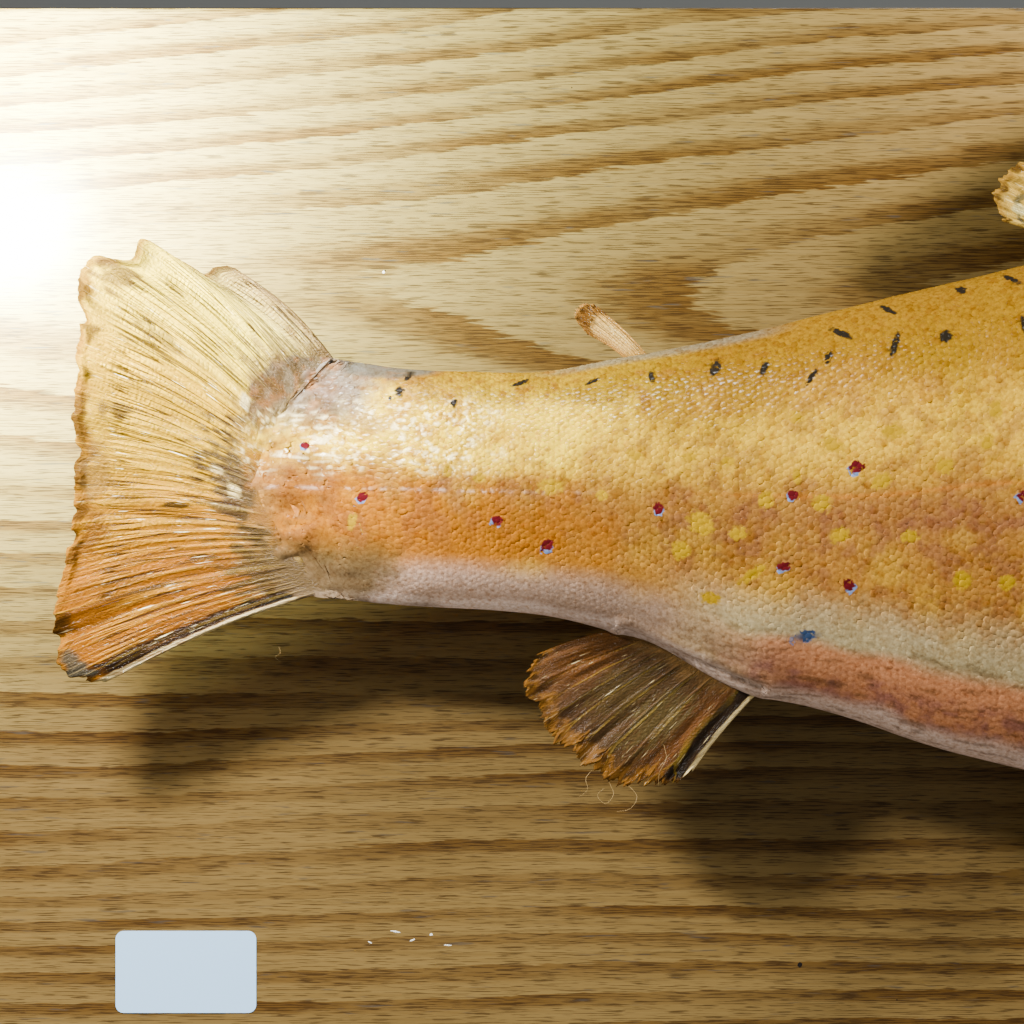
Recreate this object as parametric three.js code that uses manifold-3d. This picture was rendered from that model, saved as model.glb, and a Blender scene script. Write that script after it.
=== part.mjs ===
// A life-size brook trout, stuffed and mounted on an oak board that hangs on a wall. Millimetres, +Z up.
// The origin is the centre of the board's back face. +Y points into the wall, and the snout points along +X.
// Inside the fish's own group, x is minus the distance behind the snout and y = 0 is the fish's middle plane.
import * as THREE from "three";
import { mergeVertices } from "three/addons/utils/BufferGeometryUtils.js";
import Module from "manifold-3d";

const wasm = await Module();
wasm.setup();

// ---------------------------------------------------------------- driving dimensions
const TOTAL_LENGTH = 571; // snout to the worn tips of the tail
const STAND_OFF = 42; // board face to the fish's middle plane
const CLEAR = 0.3; // gap between neighbouring pieces

const BOARD = { length: 660, height: 286, thickness: 19, easing: 1.2 };
const CARD = { width: 38.1, height: 22.2, thickness: 0.25, corner: 2.2, left: 56, bottom: 13.5 };
const RECESS = { width: 70, height: 19, depth: 3.4, below: 26 };
const HANGER = { width: 58, height: 11, thickness: 1, teeth: 9, toothDepth: 2, rise: 1.2, foot: 8, slope: 2 };
const NAIL = { radius: 0.9, head: 2.2, headThickness: 0.6, sides: 12 };
const SCREW = {
  shank: 2.2, head: 4.4, rim: 0.4, headDepth: 2.6, sunk: 0.6, length: 24, play: 0.35, inset: 9, sides: 10,
};

// The outline of the body without its fins. at: distance behind the snout. back and belly: heights of the two
// edges. half: half the width. They are read by a smooth curve, which the nose closes with a rounded end.
const BODY = [
  { name: "snout", at: 0, back: 12.5, belly: -10.5, half: 10.5 },
  { name: "nostril", at: 24, back: 21.5, belly: -19, half: 15.5 },
  { name: "eye", at: 46, back: 31.5, belly: -28, half: 20.5 },
  { name: "cheek", at: 80, back: 43.5, belly: -39, half: 27.5 },
  { name: "gill edge", at: 118, back: 55, belly: -48, half: 32 },
  { name: "shoulder", at: 160, back: 66, belly: -58, half: 35.5 },
  { name: "dorsal fin, front", at: 236, back: 76.5, belly: -67, half: 36.8 },
  { name: "dorsal fin, rear", at: 300, back: 73.5, belly: -64, half: 33.8 },
  { name: "belly", at: 335, back: 66.3, belly: -57.2, half: 29.8 },
  { name: "vent", at: 376, back: 56.8, belly: -44.4, half: 24.6 },
  { name: "anal fin, front", at: 387, back: 54, belly: -42.2, half: 23 },
  { name: "anal fin, rear", at: 423, back: 46.4, belly: -26.4, half: 18 },
  { name: "tail stem", at: 450, back: 42.6, belly: -20.3, half: 14.6 },
  { name: "thinnest", at: 478, back: 43.6, belly: -18.6, half: 11.4 },
  { name: "tail root", at: 499, back: 46.4, belly: -16.6, half: 4.6 },
];
const NOSE = 15; // length of the rounded nose
const NOSE_RINGS = [0.5, 2, 4.5, 9, NOSE];
const TAIL_BULGE = 18; // how far the flesh runs out between the tail fin's two roots
const BULGE_FROM = 470;
const RING_SIDES = 28;
const HEAD_STEP = 11; // spacing of the body's rings on the head, and behind it
const TRUNK_STEP = 14;

// Cuts between the body's named parts, and the outlines of the plates on the head: [behind the snout, height].
const GILL_EDGE = [[104, 74], [121, 44], [132, 14], [133, -8], [122, -34], [102, -62]];
const JAW_LINE = [[-4, -2.6], [20, -6.4], [48, -14], [76, -22.4]];
const JAW_BACK = [[80, -30], [74, -52]];
const JAW_CHIN = [-4, -60]; // the corner in front of the chin that closes the jaw's region
const STEM_CUT = 431;
const COVER_FRONT = [[94, 34], [85, 8], [86, -16], [97, -33]];
const UPPER_LIP = [
  [15, 2.2], [34, -1.6], [56, -6.4], [73, -12], [78.5, -17.5], [74, -20.6], [56, -15.6], [34, -9.4], [15, -4.6],
];
const PLATE = { cover: 1.5, lip: 1.7 };
const EYE = { at: 46, height: 9.5, radius: 8.2, depth: 4.6, proud: 2.1 };

// Fins. root and tip run from the leading ray to the last one: [behind the snout, height, sideways].
// bow sags each ray in the fin's own plane, and cup curves the blade out towards -y.
const FINS = {
  dorsal_fin: {
    root: [[236, 73], [270, 73], [302, 69.5]],
    tip: [[273, 127], [283, 123.5], [296, 115.5], [309, 106], [321, 97.5], [328.5, 90], [326, 81.5]],
    rays: 13, steps: 4, thick: [2.2, 0.7], bow: 1.5, cup: 3,
  },
  adipose_fin: {
    root: [[415.5, 45], [421, 44]],
    tip: [[431, 60], [434.2, 60.2], [436.4, 57.2], [433, 52.5]],
    rays: 7, steps: 3, thick: [2.4, 0.9], bow: 0.6, cup: 1,
  },
  caudal_fin: {
    root: [[500, 44.5], [509, 36], [514, 22], [513.5, 8], [506, -6], [497, -13.5]],
    tip: [
      [523.9, 69.5], [529, 70.6], [531.7, 67.7], [548.2, 77.2], [551, 71.4], [559.7, 72.4], [563.8, 68.4],
      [563.6, 53.4], [566.2, 35.3], [564.7, 24.9], [566, 1.5], [569.9, -16.6], [570.8, -29.6], [566, -37.2],
      [558, -38.6],
    ],
    rays: 34, steps: 4, thick: [4.4, 0.8], bow: 2.2, cup: 7,
  },
  anal_fin: {
    root: [[386.5, -38.5], [404, -31.5], [422, -23.5]],
    tip: [
      [407.7, -64.3], [417, -65.2], [426, -65], [434, -60.2], [441.5, -54], [446, -47], [449.6, -37.6],
      [446.6, -31],
    ],
    rays: 12, steps: 4, thick: [2.6, 0.8], bow: 1, cup: 2.5,
  },
};
// The two paired fins of each side. side is -1 towards the viewer and +1 towards the board.
const PAIRED_FINS = {
  pelvic_fin: {
    root: [[278, -61, 8], [285, -61.5, 8.5], [292, -60.5, 9]],
    tip: [[300, -111, 21], [308, -109, 20], [314.5, -101, 18], [315.5, -90, 15], [309, -79, 12.5]],
    rays: 8, steps: 3, thick: [2.6, 0.8], bow: 1, cup: 2,
  },
  pectoral_fin: {
    root: [[129, -34, 23], [134, -38, 22], [139, -41.5, 20.5]],
    tip: [[181, -82, 57], [191, -77.5, 52], [195, -69, 45], [190, -60.5, 38.5], [177, -54, 33]],
    rays: 9, steps: 4, thick: [2.8, 0.8], bow: 1.5, cup: 2.5,
    // The pectoral fin on the board's side lies flatter, to stay clear of the board.
    boardTip: [[186, -88, 37], [196, -82, 36.5], [199, -73, 35.5], [192, -63, 33.5], [177, -55, 31]],
  },
};
// Saddle blocks between the board and the hidden flank: span behind the snout, heights, and how far forward
// of the board each one reaches before the body is cut out of it.
const BLOCKS = {
  mounting_block_front: { from: 168, to: 262, low: -28, high: 38, deep: 15 },
  mounting_block_rear: { from: 398, to: 446, low: -6, high: 26, deep: 29 },
};

const OAK = new THREE.MeshStandardMaterial({ color: 0xc19a5f, roughness: 0.35, metalness: 0 });
const PINE = new THREE.MeshStandardMaterial({ color: 0xd9bd8c, roughness: 0.7, metalness: 0 });
const CARD_STOCK = new THREE.MeshStandardMaterial({ color: 0xcfdfe3, roughness: 0.6, metalness: 0 });
const STEEL = new THREE.MeshStandardMaterial({ color: 0x9c9a92, roughness: 0.4, metalness: 1 });
const SKIN = new THREE.MeshStandardMaterial({ color: 0xc8924a, roughness: 0.4, metalness: 0 });
const FIN = new THREE.MeshStandardMaterial({ color: 0xb27a34, roughness: 0.35, metalness: 0 });
const GLASS_EYE = new THREE.MeshStandardMaterial({ color: 0x2a1d10, roughness: 0.05, metalness: 0 });

// ---------------------------------------------------------------- curves
// A smooth curve through (xs, ys) that never overshoots between two points.
function smoothCurve(xs, ys) {
  const slopes = xs.slice(1).map((x, i) => (ys[i + 1] - ys[i]) / (x - xs[i]));
  const tangents = xs.map((_, i) => {
    if (i === 0) return slopes[0];
    if (i === xs.length - 1) return slopes[i - 1];
    const [a, b] = [slopes[i - 1], slopes[i]];
    return a * b <= 0 ? 0 : (2 * a * b) / (a + b);
  });
  return (x) => {
    let i = 0;
    while (i < xs.length - 2 && x > xs[i + 1]) i++;
    const span = xs[i + 1] - xs[i];
    const t = Math.min(1, Math.max(0, (x - xs[i]) / span));
    const [t2, t3] = [t * t, t * t * t];
    return (2 * t3 - 3 * t2 + 1) * ys[i] + (t3 - 2 * t2 + t) * span * tangents[i]
      + (3 * t2 - 2 * t3) * ys[i + 1] + (t3 - t2) * span * tangents[i + 1];
  };
}

const stations = BODY.map((row) => row.at);
const HEAD_END = BODY.find((row) => row.name === "gill edge").at;
const backAt = smoothCurve(stations, BODY.map((row) => row.back));
const bellyAt = smoothCurve(stations, BODY.map((row) => row.belly));
const halfAt = smoothCurve(stations, BODY.map((row) => row.half));

const pair = ([at, height]) => new THREE.Vector2(-at, height);
const place = ([at, height, sideways = 0]) => new THREE.Vector3(-at, sideways, height);
const splinePoints = (points, count) => new THREE.SplineCurve(points.map(pair)).getPoints(count);

// ---------------------------------------------------------------- solids
function solidOf(geometry) {
  const bare = new THREE.BufferGeometry().setAttribute("position", geometry.getAttribute("position"));
  if (geometry.index) bare.setIndex(geometry.index);
  const merged = mergeVertices(bare, 1e-4);
  const vertProperties = new Float32Array(merged.getAttribute("position").array);
  const triVerts = new Uint32Array(merged.index.array);
  return new wasm.Manifold(new wasm.Mesh({ numProp: 3, vertProperties, triVerts }));
}

function geometryOf(solid) {
  const { vertProperties, triVerts, numProp, numVert } = solid.getMesh();
  const position = new Float32Array(numVert * 3);
  for (let i = 0; i < numVert; i++) position.set(vertProperties.subarray(i * numProp, i * numProp + 3), i * 3);
  const geometry = new THREE.BufferGeometry().setAttribute("position", new THREE.BufferAttribute(position, 3));
  geometry.setIndex(new THREE.BufferAttribute(new Uint32Array(triVerts), 1));
  geometry.computeVertexNormals();
  return geometry;
}

function geometryFrom(points, faces) {
  const geometry = new THREE.BufferGeometry().setFromPoints(points);
  return geometry.setIndex(faces.flat());
}

// A shape drawn in x and z, extruded along y from one plane to the other.
function prism(outline, yFrom, yTo) {
  const shape = outline instanceof THREE.Shape ? outline : new THREE.Shape(outline);
  const geometry = new THREE.ExtrudeGeometry(shape, { depth: yTo - yFrom, bevelEnabled: false, curveSegments: 4 });
  return solidOf(geometry.rotateX(Math.PI / 2).translate(0, yTo, 0));
}

function box(x, y, z) {
  const [width, depth, height] = [x, y, z].map(([low, high]) => high - low);
  const centre = [x, y, z].map(([low, high]) => (low + high) / 2);
  return solidOf(new THREE.BoxGeometry(width, depth, height).translate(...centre));
}

// Positions after from and up to to, about one step apart.
function evenly(from, to, step) {
  const count = Math.round((to - from) / step);
  return Array.from({ length: count }, (_, i) => from + ((to - from) * (i + 1)) / count);
}

// The whole body as one lofted solid, every surface moved out by grow.
function bodySolid(grow) {
  const last = stations.at(-1);
  const rings = [...NOSE_RINGS, ...evenly(NOSE, HEAD_END, HEAD_STEP), ...evenly(HEAD_END, last, TRUNK_STEP)];
  const points = [new THREE.Vector3(grow, 0, (backAt(0) + bellyAt(0)) / 2)];
  for (const at of rings) {
    const closing = at < NOSE ? Math.sqrt(1 - (1 - at / NOSE) ** 2) : 1;
    const middle = (backAt(at) + bellyAt(at)) / 2;
    const tall = ((backAt(at) - bellyAt(at)) / 2) * closing + grow;
    const wide = halfAt(at) * closing + grow;
    const bulge = TAIL_BULGE * THREE.MathUtils.smoothstep(at, BULGE_FROM, last);
    for (let k = 0; k < RING_SIDES; k++) {
      const angle = (2 * Math.PI * k) / RING_SIDES;
      const up = Math.sin(angle);
      const reach = at + bulge * (1 - up * up) - grow * (1 - closing) + (bulge > 0 ? grow : 0);
      points.push(new THREE.Vector3(-reach, wide * Math.cos(angle), middle + tall * up));
    }
  }
  const middle = (backAt(last) + bellyAt(last)) / 2;
  points.push(new THREE.Vector3(-(last + TAIL_BULGE + grow), 0, middle));

  const faces = [];
  const ringPoint = (ring, k) => 1 + ring * RING_SIDES + (k % RING_SIDES);
  for (let k = 0; k < RING_SIDES; k++) {
    faces.push([0, ringPoint(0, k), ringPoint(0, k + 1)]);
    for (let ring = 0; ring < rings.length - 1; ring++) {
      const [a, b] = [ringPoint(ring, k), ringPoint(ring, k + 1)];
      const [c, d] = [ringPoint(ring + 1, k), ringPoint(ring + 1, k + 1)];
      faces.push([a, c, b], [b, c, d]);
    }
    faces.push([points.length - 1, ringPoint(rings.length - 1, k + 1), ringPoint(rings.length - 1, k)]);
  }
  return solidOf(geometryFrom(points, faces));
}

const SIDES = [[-1, "right"], [1, "left"]]; // the fish's right side faces away from the board
const FAR = 140; // beyond the fish in every direction
const AROUND = [-FAR, FAR];
const body = bodySolid(0);
const bodyAndGap = bodySolid(CLEAR);
const sideBox = (side) => box([-TOTAL_LENGTH, 10], side < 0 ? [-FAR, -1] : [1, FAR], AROUND);

// A thin plate that lies on the body's surface inside an outline, on one side.
function plate(outline, thickness, side) {
  const shell = bodySolid(thickness).subtract(bodyAndGap);
  return shell.intersect(prism(outline, ...AROUND)).intersect(sideBox(side));
}

// A fin blade between its root line and its tip line, thinner towards the tip, cut clear of the body.
function finSolid({ root, tip, rays, steps, thick, bow, cup }, side = -1) {
  const rootLine = new THREE.CatmullRomCurve3(root.map(place), false, "centripetal");
  const tipLine = new THREE.CatmullRomCurve3(tip.map(place), false, "centripetal");
  const across = new THREE.Vector3(0, side, 0);
  const grid = [];
  for (let i = 0; i <= rays; i++) {
    const [foot, end] = [rootLine.getPointAt(i / rays), tipLine.getPointAt(i / rays)];
    const ray = end.clone().sub(foot).normalize();
    const sag = new THREE.Vector3().crossVectors(ray, new THREE.Vector3(0, -1, 0)).normalize();
    const spread = 1 - (2 * (i / rays) - 1) ** 2;
    grid.push(Array.from({ length: steps + 1 }, (_, j) => {
      const along = j / steps;
      const point = foot.clone().lerp(end, along);
      point.addScaledVector(sag, bow * Math.sin(Math.PI * along));
      return point.addScaledVector(across, cup * spread * along * along);
    }));
  }
  const at = (i, j) => grid[Math.min(rays, Math.max(0, i))][Math.min(steps, Math.max(0, j))];
  const points = [];
  for (const face of [1, -1]) {
    for (let i = 0; i <= rays; i++) {
      for (let j = 0; j <= steps; j++) {
        const along = at(i, j + 1).clone().sub(at(i, j - 1));
        const over = at(i + 1, j).clone().sub(at(i - 1, j));
        const normal = over.cross(along).normalize();
        const half = THREE.MathUtils.lerp(thick[0], thick[1], Math.sqrt(j / steps)) / 2;
        points.push(at(i, j).clone().addScaledVector(normal, face * half));
      }
    }
  }
  const row = steps + 1;
  const layer = (rays + 1) * row;
  const faces = [];
  for (let i = 0; i < rays; i++) {
    for (let j = 0; j < steps; j++) {
      const [a, b, c, d] = [i * row + j, i * row + j + 1, (i + 1) * row + j, (i + 1) * row + j + 1];
      faces.push([a, c, b], [b, c, d], [a + layer, b + layer, c + layer], [b + layer, d + layer, c + layer]);
    }
  }
  const rim = [
    ...Array.from({ length: rays }, (_, i) => i * row),
    ...Array.from({ length: steps }, (_, j) => rays * row + j),
    ...Array.from({ length: rays }, (_, i) => (rays - i) * row + steps),
    ...Array.from({ length: steps }, (_, j) => steps - j),
  ];
  rim.forEach((a, k) => {
    const b = rim[(k + 1) % rim.length];
    faces.push([a, a + layer, b], [b, a + layer, b + layer]);
  });
  let blade = solidOf(geometryFrom(points, faces));
  if (blade.volume() < 0) blade = solidOf(geometryFrom(points, faces.map(([a, b, c]) => [a, c, b])));
  const parts = blade.subtract(bodyAndGap).decompose();
  return parts.reduce((best, one) => (one.volume() > best.volume() ? one : best));
}

// ---------------------------------------------------------------- the fish
const fish = new THREE.Group();
fish.position.set(TOTAL_LENGTH / 2, -(BOARD.thickness + STAND_OFF), 0);

function add(group, name, solid, material) {
  const mesh = new THREE.Mesh(geometryOf(solid), material);
  mesh.name = name;
  group.add(mesh);
  return mesh;
}

// All that lies behind a line drawn across the fish, moved back by gap.
function regionBehind(line, gap) {
  const moved = line.map(([at, height]) => [at + gap, height]);
  const past = TOTAL_LENGTH + 10;
  return prism([...splinePoints(moved, 12), pair([past, -FAR]), pair([past, FAR])], ...AROUND);
}

// The flesh, parted by thin cuts into the head, its lower jaw, the trunk and the tail stem.
function addBody() {
  const behindGills = regionBehind(GILL_EDGE, 0);
  const jawRegion = (gap) => prism([
    ...splinePoints(JAW_LINE.map(([at, height]) => [at, height + gap]), 7),
    ...JAW_BACK.map(([at, height]) => pair([at + gap, height])),
    pair(JAW_CHIN),
  ], ...AROUND);
  const stemBox = (from) => box([-TOTAL_LENGTH, -from], AROUND, AROUND);

  let head = body.subtract(behindGills);
  const jaw = head.intersect(jawRegion(0));
  head = head.subtract(jawRegion(CLEAR));
  for (const side of [-1, 1]) head = head.subtract(eyeSolid(side, CLEAR));
  add(fish, "head", head, SKIN);
  add(fish, "lower_jaw", jaw, SKIN);
  const afterHead = body.intersect(regionBehind(GILL_EDGE, CLEAR));
  add(fish, "trunk", afterHead.subtract(stemBox(STEM_CUT)), SKIN);
  add(fish, "tail_stem", afterHead.intersect(stemBox(STEM_CUT + CLEAR)), SKIN);
}

// A flattened glass ball that faces straight out of the head's side and stands a little proud of it, or with
// grow the socket it sits in.
function eyeSolid(side, grow) {
  const { at, height, radius, depth, proud } = EYE;
  const surface = (d, z) => {
    const middle = (backAt(d) + bellyAt(d)) / 2;
    const tall = (backAt(d) - bellyAt(d)) / 2;
    return halfAt(d) * Math.sqrt(1 - ((z - middle) / tall) ** 2);
  };
  const forward = (surface(at + radius, height) - surface(at - radius, height)) / (2 * radius);
  const upward = (surface(at, height - radius) - surface(at, height + radius)) / (2 * radius);
  const facing = new THREE.Vector3(forward, side, upward).normalize();
  const ball = new THREE.SphereGeometry(radius + grow, 16, 8);
  ball.scale(1, (depth + grow) / (radius + grow), 1);
  ball.applyQuaternion(new THREE.Quaternion().setFromUnitVectors(new THREE.Vector3(0, 1, 0), facing));
  const centre = new THREE.Vector3(-at, side * surface(at, height), height).addScaledVector(facing, proud - depth);
  return solidOf(ball.translate(...centre));
}

function addHeadPlates() {
  const coverOutline = [
    ...splinePoints(COVER_FRONT, 7),
    ...splinePoints(GILL_EDGE.slice(1, -1).map(([at, height]) => [at - CLEAR, height]).reverse(), 8),
  ];
  const lip = new THREE.SplineCurve([...UPPER_LIP, UPPER_LIP[0]].map(pair)).getPoints(20).slice(0, -1);
  for (const [side, label] of SIDES) {
    add(fish, `gill_cover_${label}`, plate(coverOutline, PLATE.cover, side), SKIN);
    add(fish, `upper_lip_${label}`, plate(lip, PLATE.lip, side), SKIN);
    add(fish, `eye_${label}`, eyeSolid(side, 0), GLASS_EYE);
  }
}

function addFins() {
  for (const [name, fin] of Object.entries(FINS)) add(fish, name, finSolid(fin), FIN);
  for (const [name, fin] of Object.entries(PAIRED_FINS)) {
    for (const [side, label] of SIDES) {
      const onSide = ([at, height, sideways]) => [at, height, side * sideways];
      const tip = side > 0 && fin.boardTip ? fin.boardTip : fin.tip;
      const cup = side > 0 ? 0 : fin.cup;
      const made = finSolid({ ...fin, root: fin.root.map(onSide), tip: tip.map(onSide), cup }, side);
      add(fish, `${name}_${label}`, made, FIN);
    }
  }
}

// ---------------------------------------------------------------- the board and what fixes the fish to it
const mount = new THREE.Group();
const frontOfBoard = -BOARD.thickness;

// Two screws to a block, near its opposite corners: [x, z] on the board.
const screwPlaces = Object.values(BLOCKS).flatMap(({ from, to, low, high }) => {
  const { inset } = SCREW;
  const snout = TOTAL_LENGTH / 2;
  return [[snout - from - inset, high - inset], [snout - to + inset, low + inset]];
});

// A countersunk screw, driven in from the board's back, or with grow the hole it turns in.
function screwSolid([x, z], grow) {
  const { shank, head, rim, headDepth, sunk, length, sides } = SCREW;
  const top = grow ? 1 : -sunk; // a hole for a screw runs out past the board's back
  const profile = [
    [0, top], [head + grow, top], [head + grow, -sunk - rim], [shank + grow, -sunk - headDepth],
    [shank + grow, -length - grow], [0, -length - grow],
  ].map(([radius, y]) => new THREE.Vector2(radius, y));
  return solidOf(new THREE.LatheGeometry(profile.reverse(), sides).translate(x, 0, z));
}

function addBoard() {
  const { length, height, thickness, easing } = BOARD;
  const outline = new THREE.Shape([[-1, -1], [1, -1], [1, 1], [-1, 1]].map(([x, z]) =>
    new THREE.Vector2(x * (length / 2 - easing), z * (height / 2 - easing))));
  const slab = new THREE.ExtrudeGeometry(outline, {
    depth: thickness - 2 * easing, bevelThickness: easing, bevelSize: easing, bevelSegments: 2,
  });
  let board = solidOf(slab.rotateX(Math.PI / 2).translate(0, -easing, 0));
  const hangerHeight = height / 2 - RECESS.below;
  board = board.subtract(box([-RECESS.width / 2, RECESS.width / 2], [-RECESS.depth, 1],
    [hangerHeight - RECESS.height / 2, hangerHeight + RECESS.height / 2]));
  for (const spot of screwPlaces) board = board.subtract(screwSolid(spot, SCREW.play));
  add(mount, "board", board, OAK);
  return hangerHeight;
}

function addCard() {
  const { width, height, thickness, corner, left, bottom } = CARD;
  const shape = new THREE.Shape();
  shape.moveTo(corner, 0);
  for (const [x, y, turn] of [[width - corner, corner, -1], [width - corner, height - corner, 0],
    [corner, height - corner, 1], [corner, corner, 2]]) {
    shape.absarc(x, y, corner, (turn * Math.PI) / 2, ((turn + 1) * Math.PI) / 2);
  }
  const card = prism(shape, frontOfBoard - thickness, frontOfBoard);
  add(mount, "number_card", card.translate([left - BOARD.length / 2, 0, bottom - BOARD.height / 2]), CARD_STOCK);
}

function nailSolid() {
  const floor = -RECESS.depth;
  const top = floor + HANGER.thickness;
  const profile = [
    [0, floor], [NAIL.radius, floor], [NAIL.radius, top], [NAIL.head, top],
    [NAIL.head, top + NAIL.headThickness], [0, top + NAIL.headThickness],
  ].map(([radius, y]) => new THREE.Vector2(radius, y));
  return solidOf(new THREE.LatheGeometry(profile, NAIL.sides));
}

// A toothed steel strip. Its ends lie on the recess's floor, and its middle stands off for the nail.
function addHanger(height) {
  const { width, height: tall, thickness, teeth, toothDepth, rise, foot, slope } = HANGER;
  const lift = [[0, 0], [foot, 0], [foot + slope, rise], [width - foot - slope, rise], [width - foot, 0], [width, 0]];
  const bent = new THREE.Shape([...lift, ...lift.map(([x, y]) => [x, y + thickness]).reverse()]
    .map(([x, y]) => new THREE.Vector2(x - width / 2, y - RECESS.depth)));
  const strip = solidOf(new THREE.ExtrudeGeometry(bent, { depth: tall, bevelEnabled: false }));
  const toothed = width - 2 * (foot + slope);
  const low = tall / 2;
  const comb = Array.from({ length: teeth }, (_, i) => i).flatMap((i) => [
    [-toothed / 2 + (toothed * i) / teeth, -low],
    [-toothed / 2 + (toothed * (i + 0.5)) / teeth, -low + toothDepth],
  ]);
  const gaps = prism([...comb, [toothed / 2, -low], [toothed / 2, -low - 1], [-toothed / 2, -low - 1]]
    .map(([x, z]) => new THREE.Vector2(x, z)), ...AROUND);
  let plateSolid = strip.translate([0, 0, -low]).subtract(gaps);
  for (const [side, label] of SIDES) {
    const x = side * (width / 2 - foot / 2);
    const hole = new THREE.CylinderGeometry(NAIL.radius + CLEAR, NAIL.radius + CLEAR, 2 * foot, NAIL.sides);
    plateSolid = plateSolid.subtract(solidOf(hole.translate(x, -RECESS.depth, 0)));
    add(mount, `hanger_nail_${label}`, nailSolid().translate([x, 0, height]), STEEL);
  }
  add(mount, "hanger", plateSolid.translate([0, 0, height]), STEEL);
}

function addBlocks() {
  for (const [name, { from, to, low, high, deep }] of Object.entries(BLOCKS)) {
    const raw = box([-to, -from], [STAND_OFF - deep, STAND_OFF], [low, high]).subtract(bodyAndGap);
    let block = raw.translate([TOTAL_LENGTH / 2, -(BOARD.thickness + STAND_OFF), 0]);
    for (const spot of screwPlaces) block = block.subtract(screwSolid(spot, SCREW.play));
    add(mount, name, block, PINE);
  }
  screwPlaces.forEach((spot, i) => add(mount, `screw_${i + 1}`, screwSolid(spot, 0), STEEL));
}

addBody();
addHeadPlates();
addFins();
addHanger(addBoard());
addCard();
addBlocks();

const mountedTrout = new THREE.Group();
mountedTrout.add(fish, mount);
export default mountedTrout;
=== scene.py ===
import functools

import bmesh
import bpy
import numpy as np
from mathutils import Matrix, Vector


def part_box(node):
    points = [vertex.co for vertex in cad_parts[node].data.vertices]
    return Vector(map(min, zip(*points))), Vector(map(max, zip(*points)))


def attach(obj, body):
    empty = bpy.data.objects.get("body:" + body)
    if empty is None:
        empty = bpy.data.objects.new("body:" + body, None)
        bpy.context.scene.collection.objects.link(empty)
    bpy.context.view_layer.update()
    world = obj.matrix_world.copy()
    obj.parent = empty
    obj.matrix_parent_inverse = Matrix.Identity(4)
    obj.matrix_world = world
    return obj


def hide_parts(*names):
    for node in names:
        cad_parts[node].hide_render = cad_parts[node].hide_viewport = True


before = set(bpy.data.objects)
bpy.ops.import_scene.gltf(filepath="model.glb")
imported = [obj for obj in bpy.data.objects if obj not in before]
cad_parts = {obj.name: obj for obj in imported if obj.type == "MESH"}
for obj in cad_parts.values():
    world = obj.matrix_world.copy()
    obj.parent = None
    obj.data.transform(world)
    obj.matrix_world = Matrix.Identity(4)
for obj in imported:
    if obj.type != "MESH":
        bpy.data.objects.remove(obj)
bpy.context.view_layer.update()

mm = 0.001  # sizes in the dictionaries are millimetres, and meshes are metres

# the fish is measured by how far a point is behind the snout and how high it is
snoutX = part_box("head")[1].x / mm
eyeCorners = [corner for side in ("left", "right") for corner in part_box("eye_" + side)]
middleY = sum(corner.y for corner in eyeCorners) / len(eyeCorners) / mm

body = {
    # behind the snout, back, belly, half the width
    "stations": [(0, 12.5, -10.5, 10.5), (24, 21.5, -19, 15.5), (46, 31.5, -28, 20.5), (80, 43.5, -39, 27.5),
                 (118, 55, -48, 32), (160, 66, -58, 35.5), (236, 76.5, -67, 36.8), (300, 73.5, -64, 33.8),
                 (335, 66.3, -57.2, 29.8), (376, 56.8, -44.4, 24.6), (387, 54, -42.2, 23), (423, 46.4, -26.4, 18),
                 (450, 42.6, -20.3, 14.6), (478, 43.6, -18.6, 11.4), (501, 46.6, -16.4, 4.4)],
    "nose": 15, "tailEnd": 501, "endCap": 2.6,
    "bulgeFrom": 470, "tailBulge": 18,  # the tail's root runs back in a curve
    "thinFrom": 474, "thinBy": 0.76,  # and thins towards the fin
    "headEnd": 145,  # the head's forms reach no further
    "scaleDepth": 0.55, "lumps": 0.7,
    "pucker": (482, 495),  # where the dried flesh starts to pucker, and where it does so fully
    "bareFrom": 484,  # behind it, the marks are painted on the bare skin
    "unwrapLength": 520,
}


# small tools

def linear(hexCode):
    # an sRGB hex colour as linear red, green, blue and alpha
    parts = np.array([int(hexCode[i:i + 2], 16) for i in (1, 3, 5)]) / 255
    flat = np.where(parts <= 0.04045, parts / 12.92, ((parts + 0.055) / 1.055) ** 2.4)
    return (*flat.tolist(), 1.0)


def ease(low, high, x):
    t = np.clip((x - low) / (high - low), 0, 1)
    return t * t * (3 - 2 * t)


def bump(x, width):
    return np.exp(-(x / width) ** 2)


def between(x, low, high, soft):
    return ease(low - soft, low + soft, x) * (1 - ease(high - soft, high + soft, x))


def hermite(t, a, b, leaving, arriving, span=1):
    # a smooth way from a to b with the slopes it leaves and arrives with
    return ((2 * t ** 3 - 3 * t ** 2 + 1) * a + (t ** 3 - 2 * t ** 2 + t) * span * leaving
            + (3 * t ** 2 - 2 * t ** 3) * b + (t ** 3 - t ** 2) * span * arriving)


def smoothCurve(knots, values):
    # a curve through the points that never overshoots between two of them
    knots, values = np.asarray(knots, float), np.asarray(values, float)
    slopes = np.diff(values) / np.diff(knots)
    product = slopes[:-1] * slopes[1:]
    total = np.where(product > 0, slopes[:-1] + slopes[1:], 1)
    tangents = np.concatenate([slopes[:1], np.where(product > 0, 2 * product / total, 0), slopes[-1:]])

    def curve(x):
        x = np.clip(x, knots[0], knots[-1])
        i = np.clip(np.searchsorted(knots, x, side="right") - 1, 0, len(knots) - 2)
        span = knots[i + 1] - knots[i]
        t = (x - knots[i]) / span
        return hermite(t, values[i], values[i + 1], tangents[i], tangents[i + 1], span)
    return curve


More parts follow.
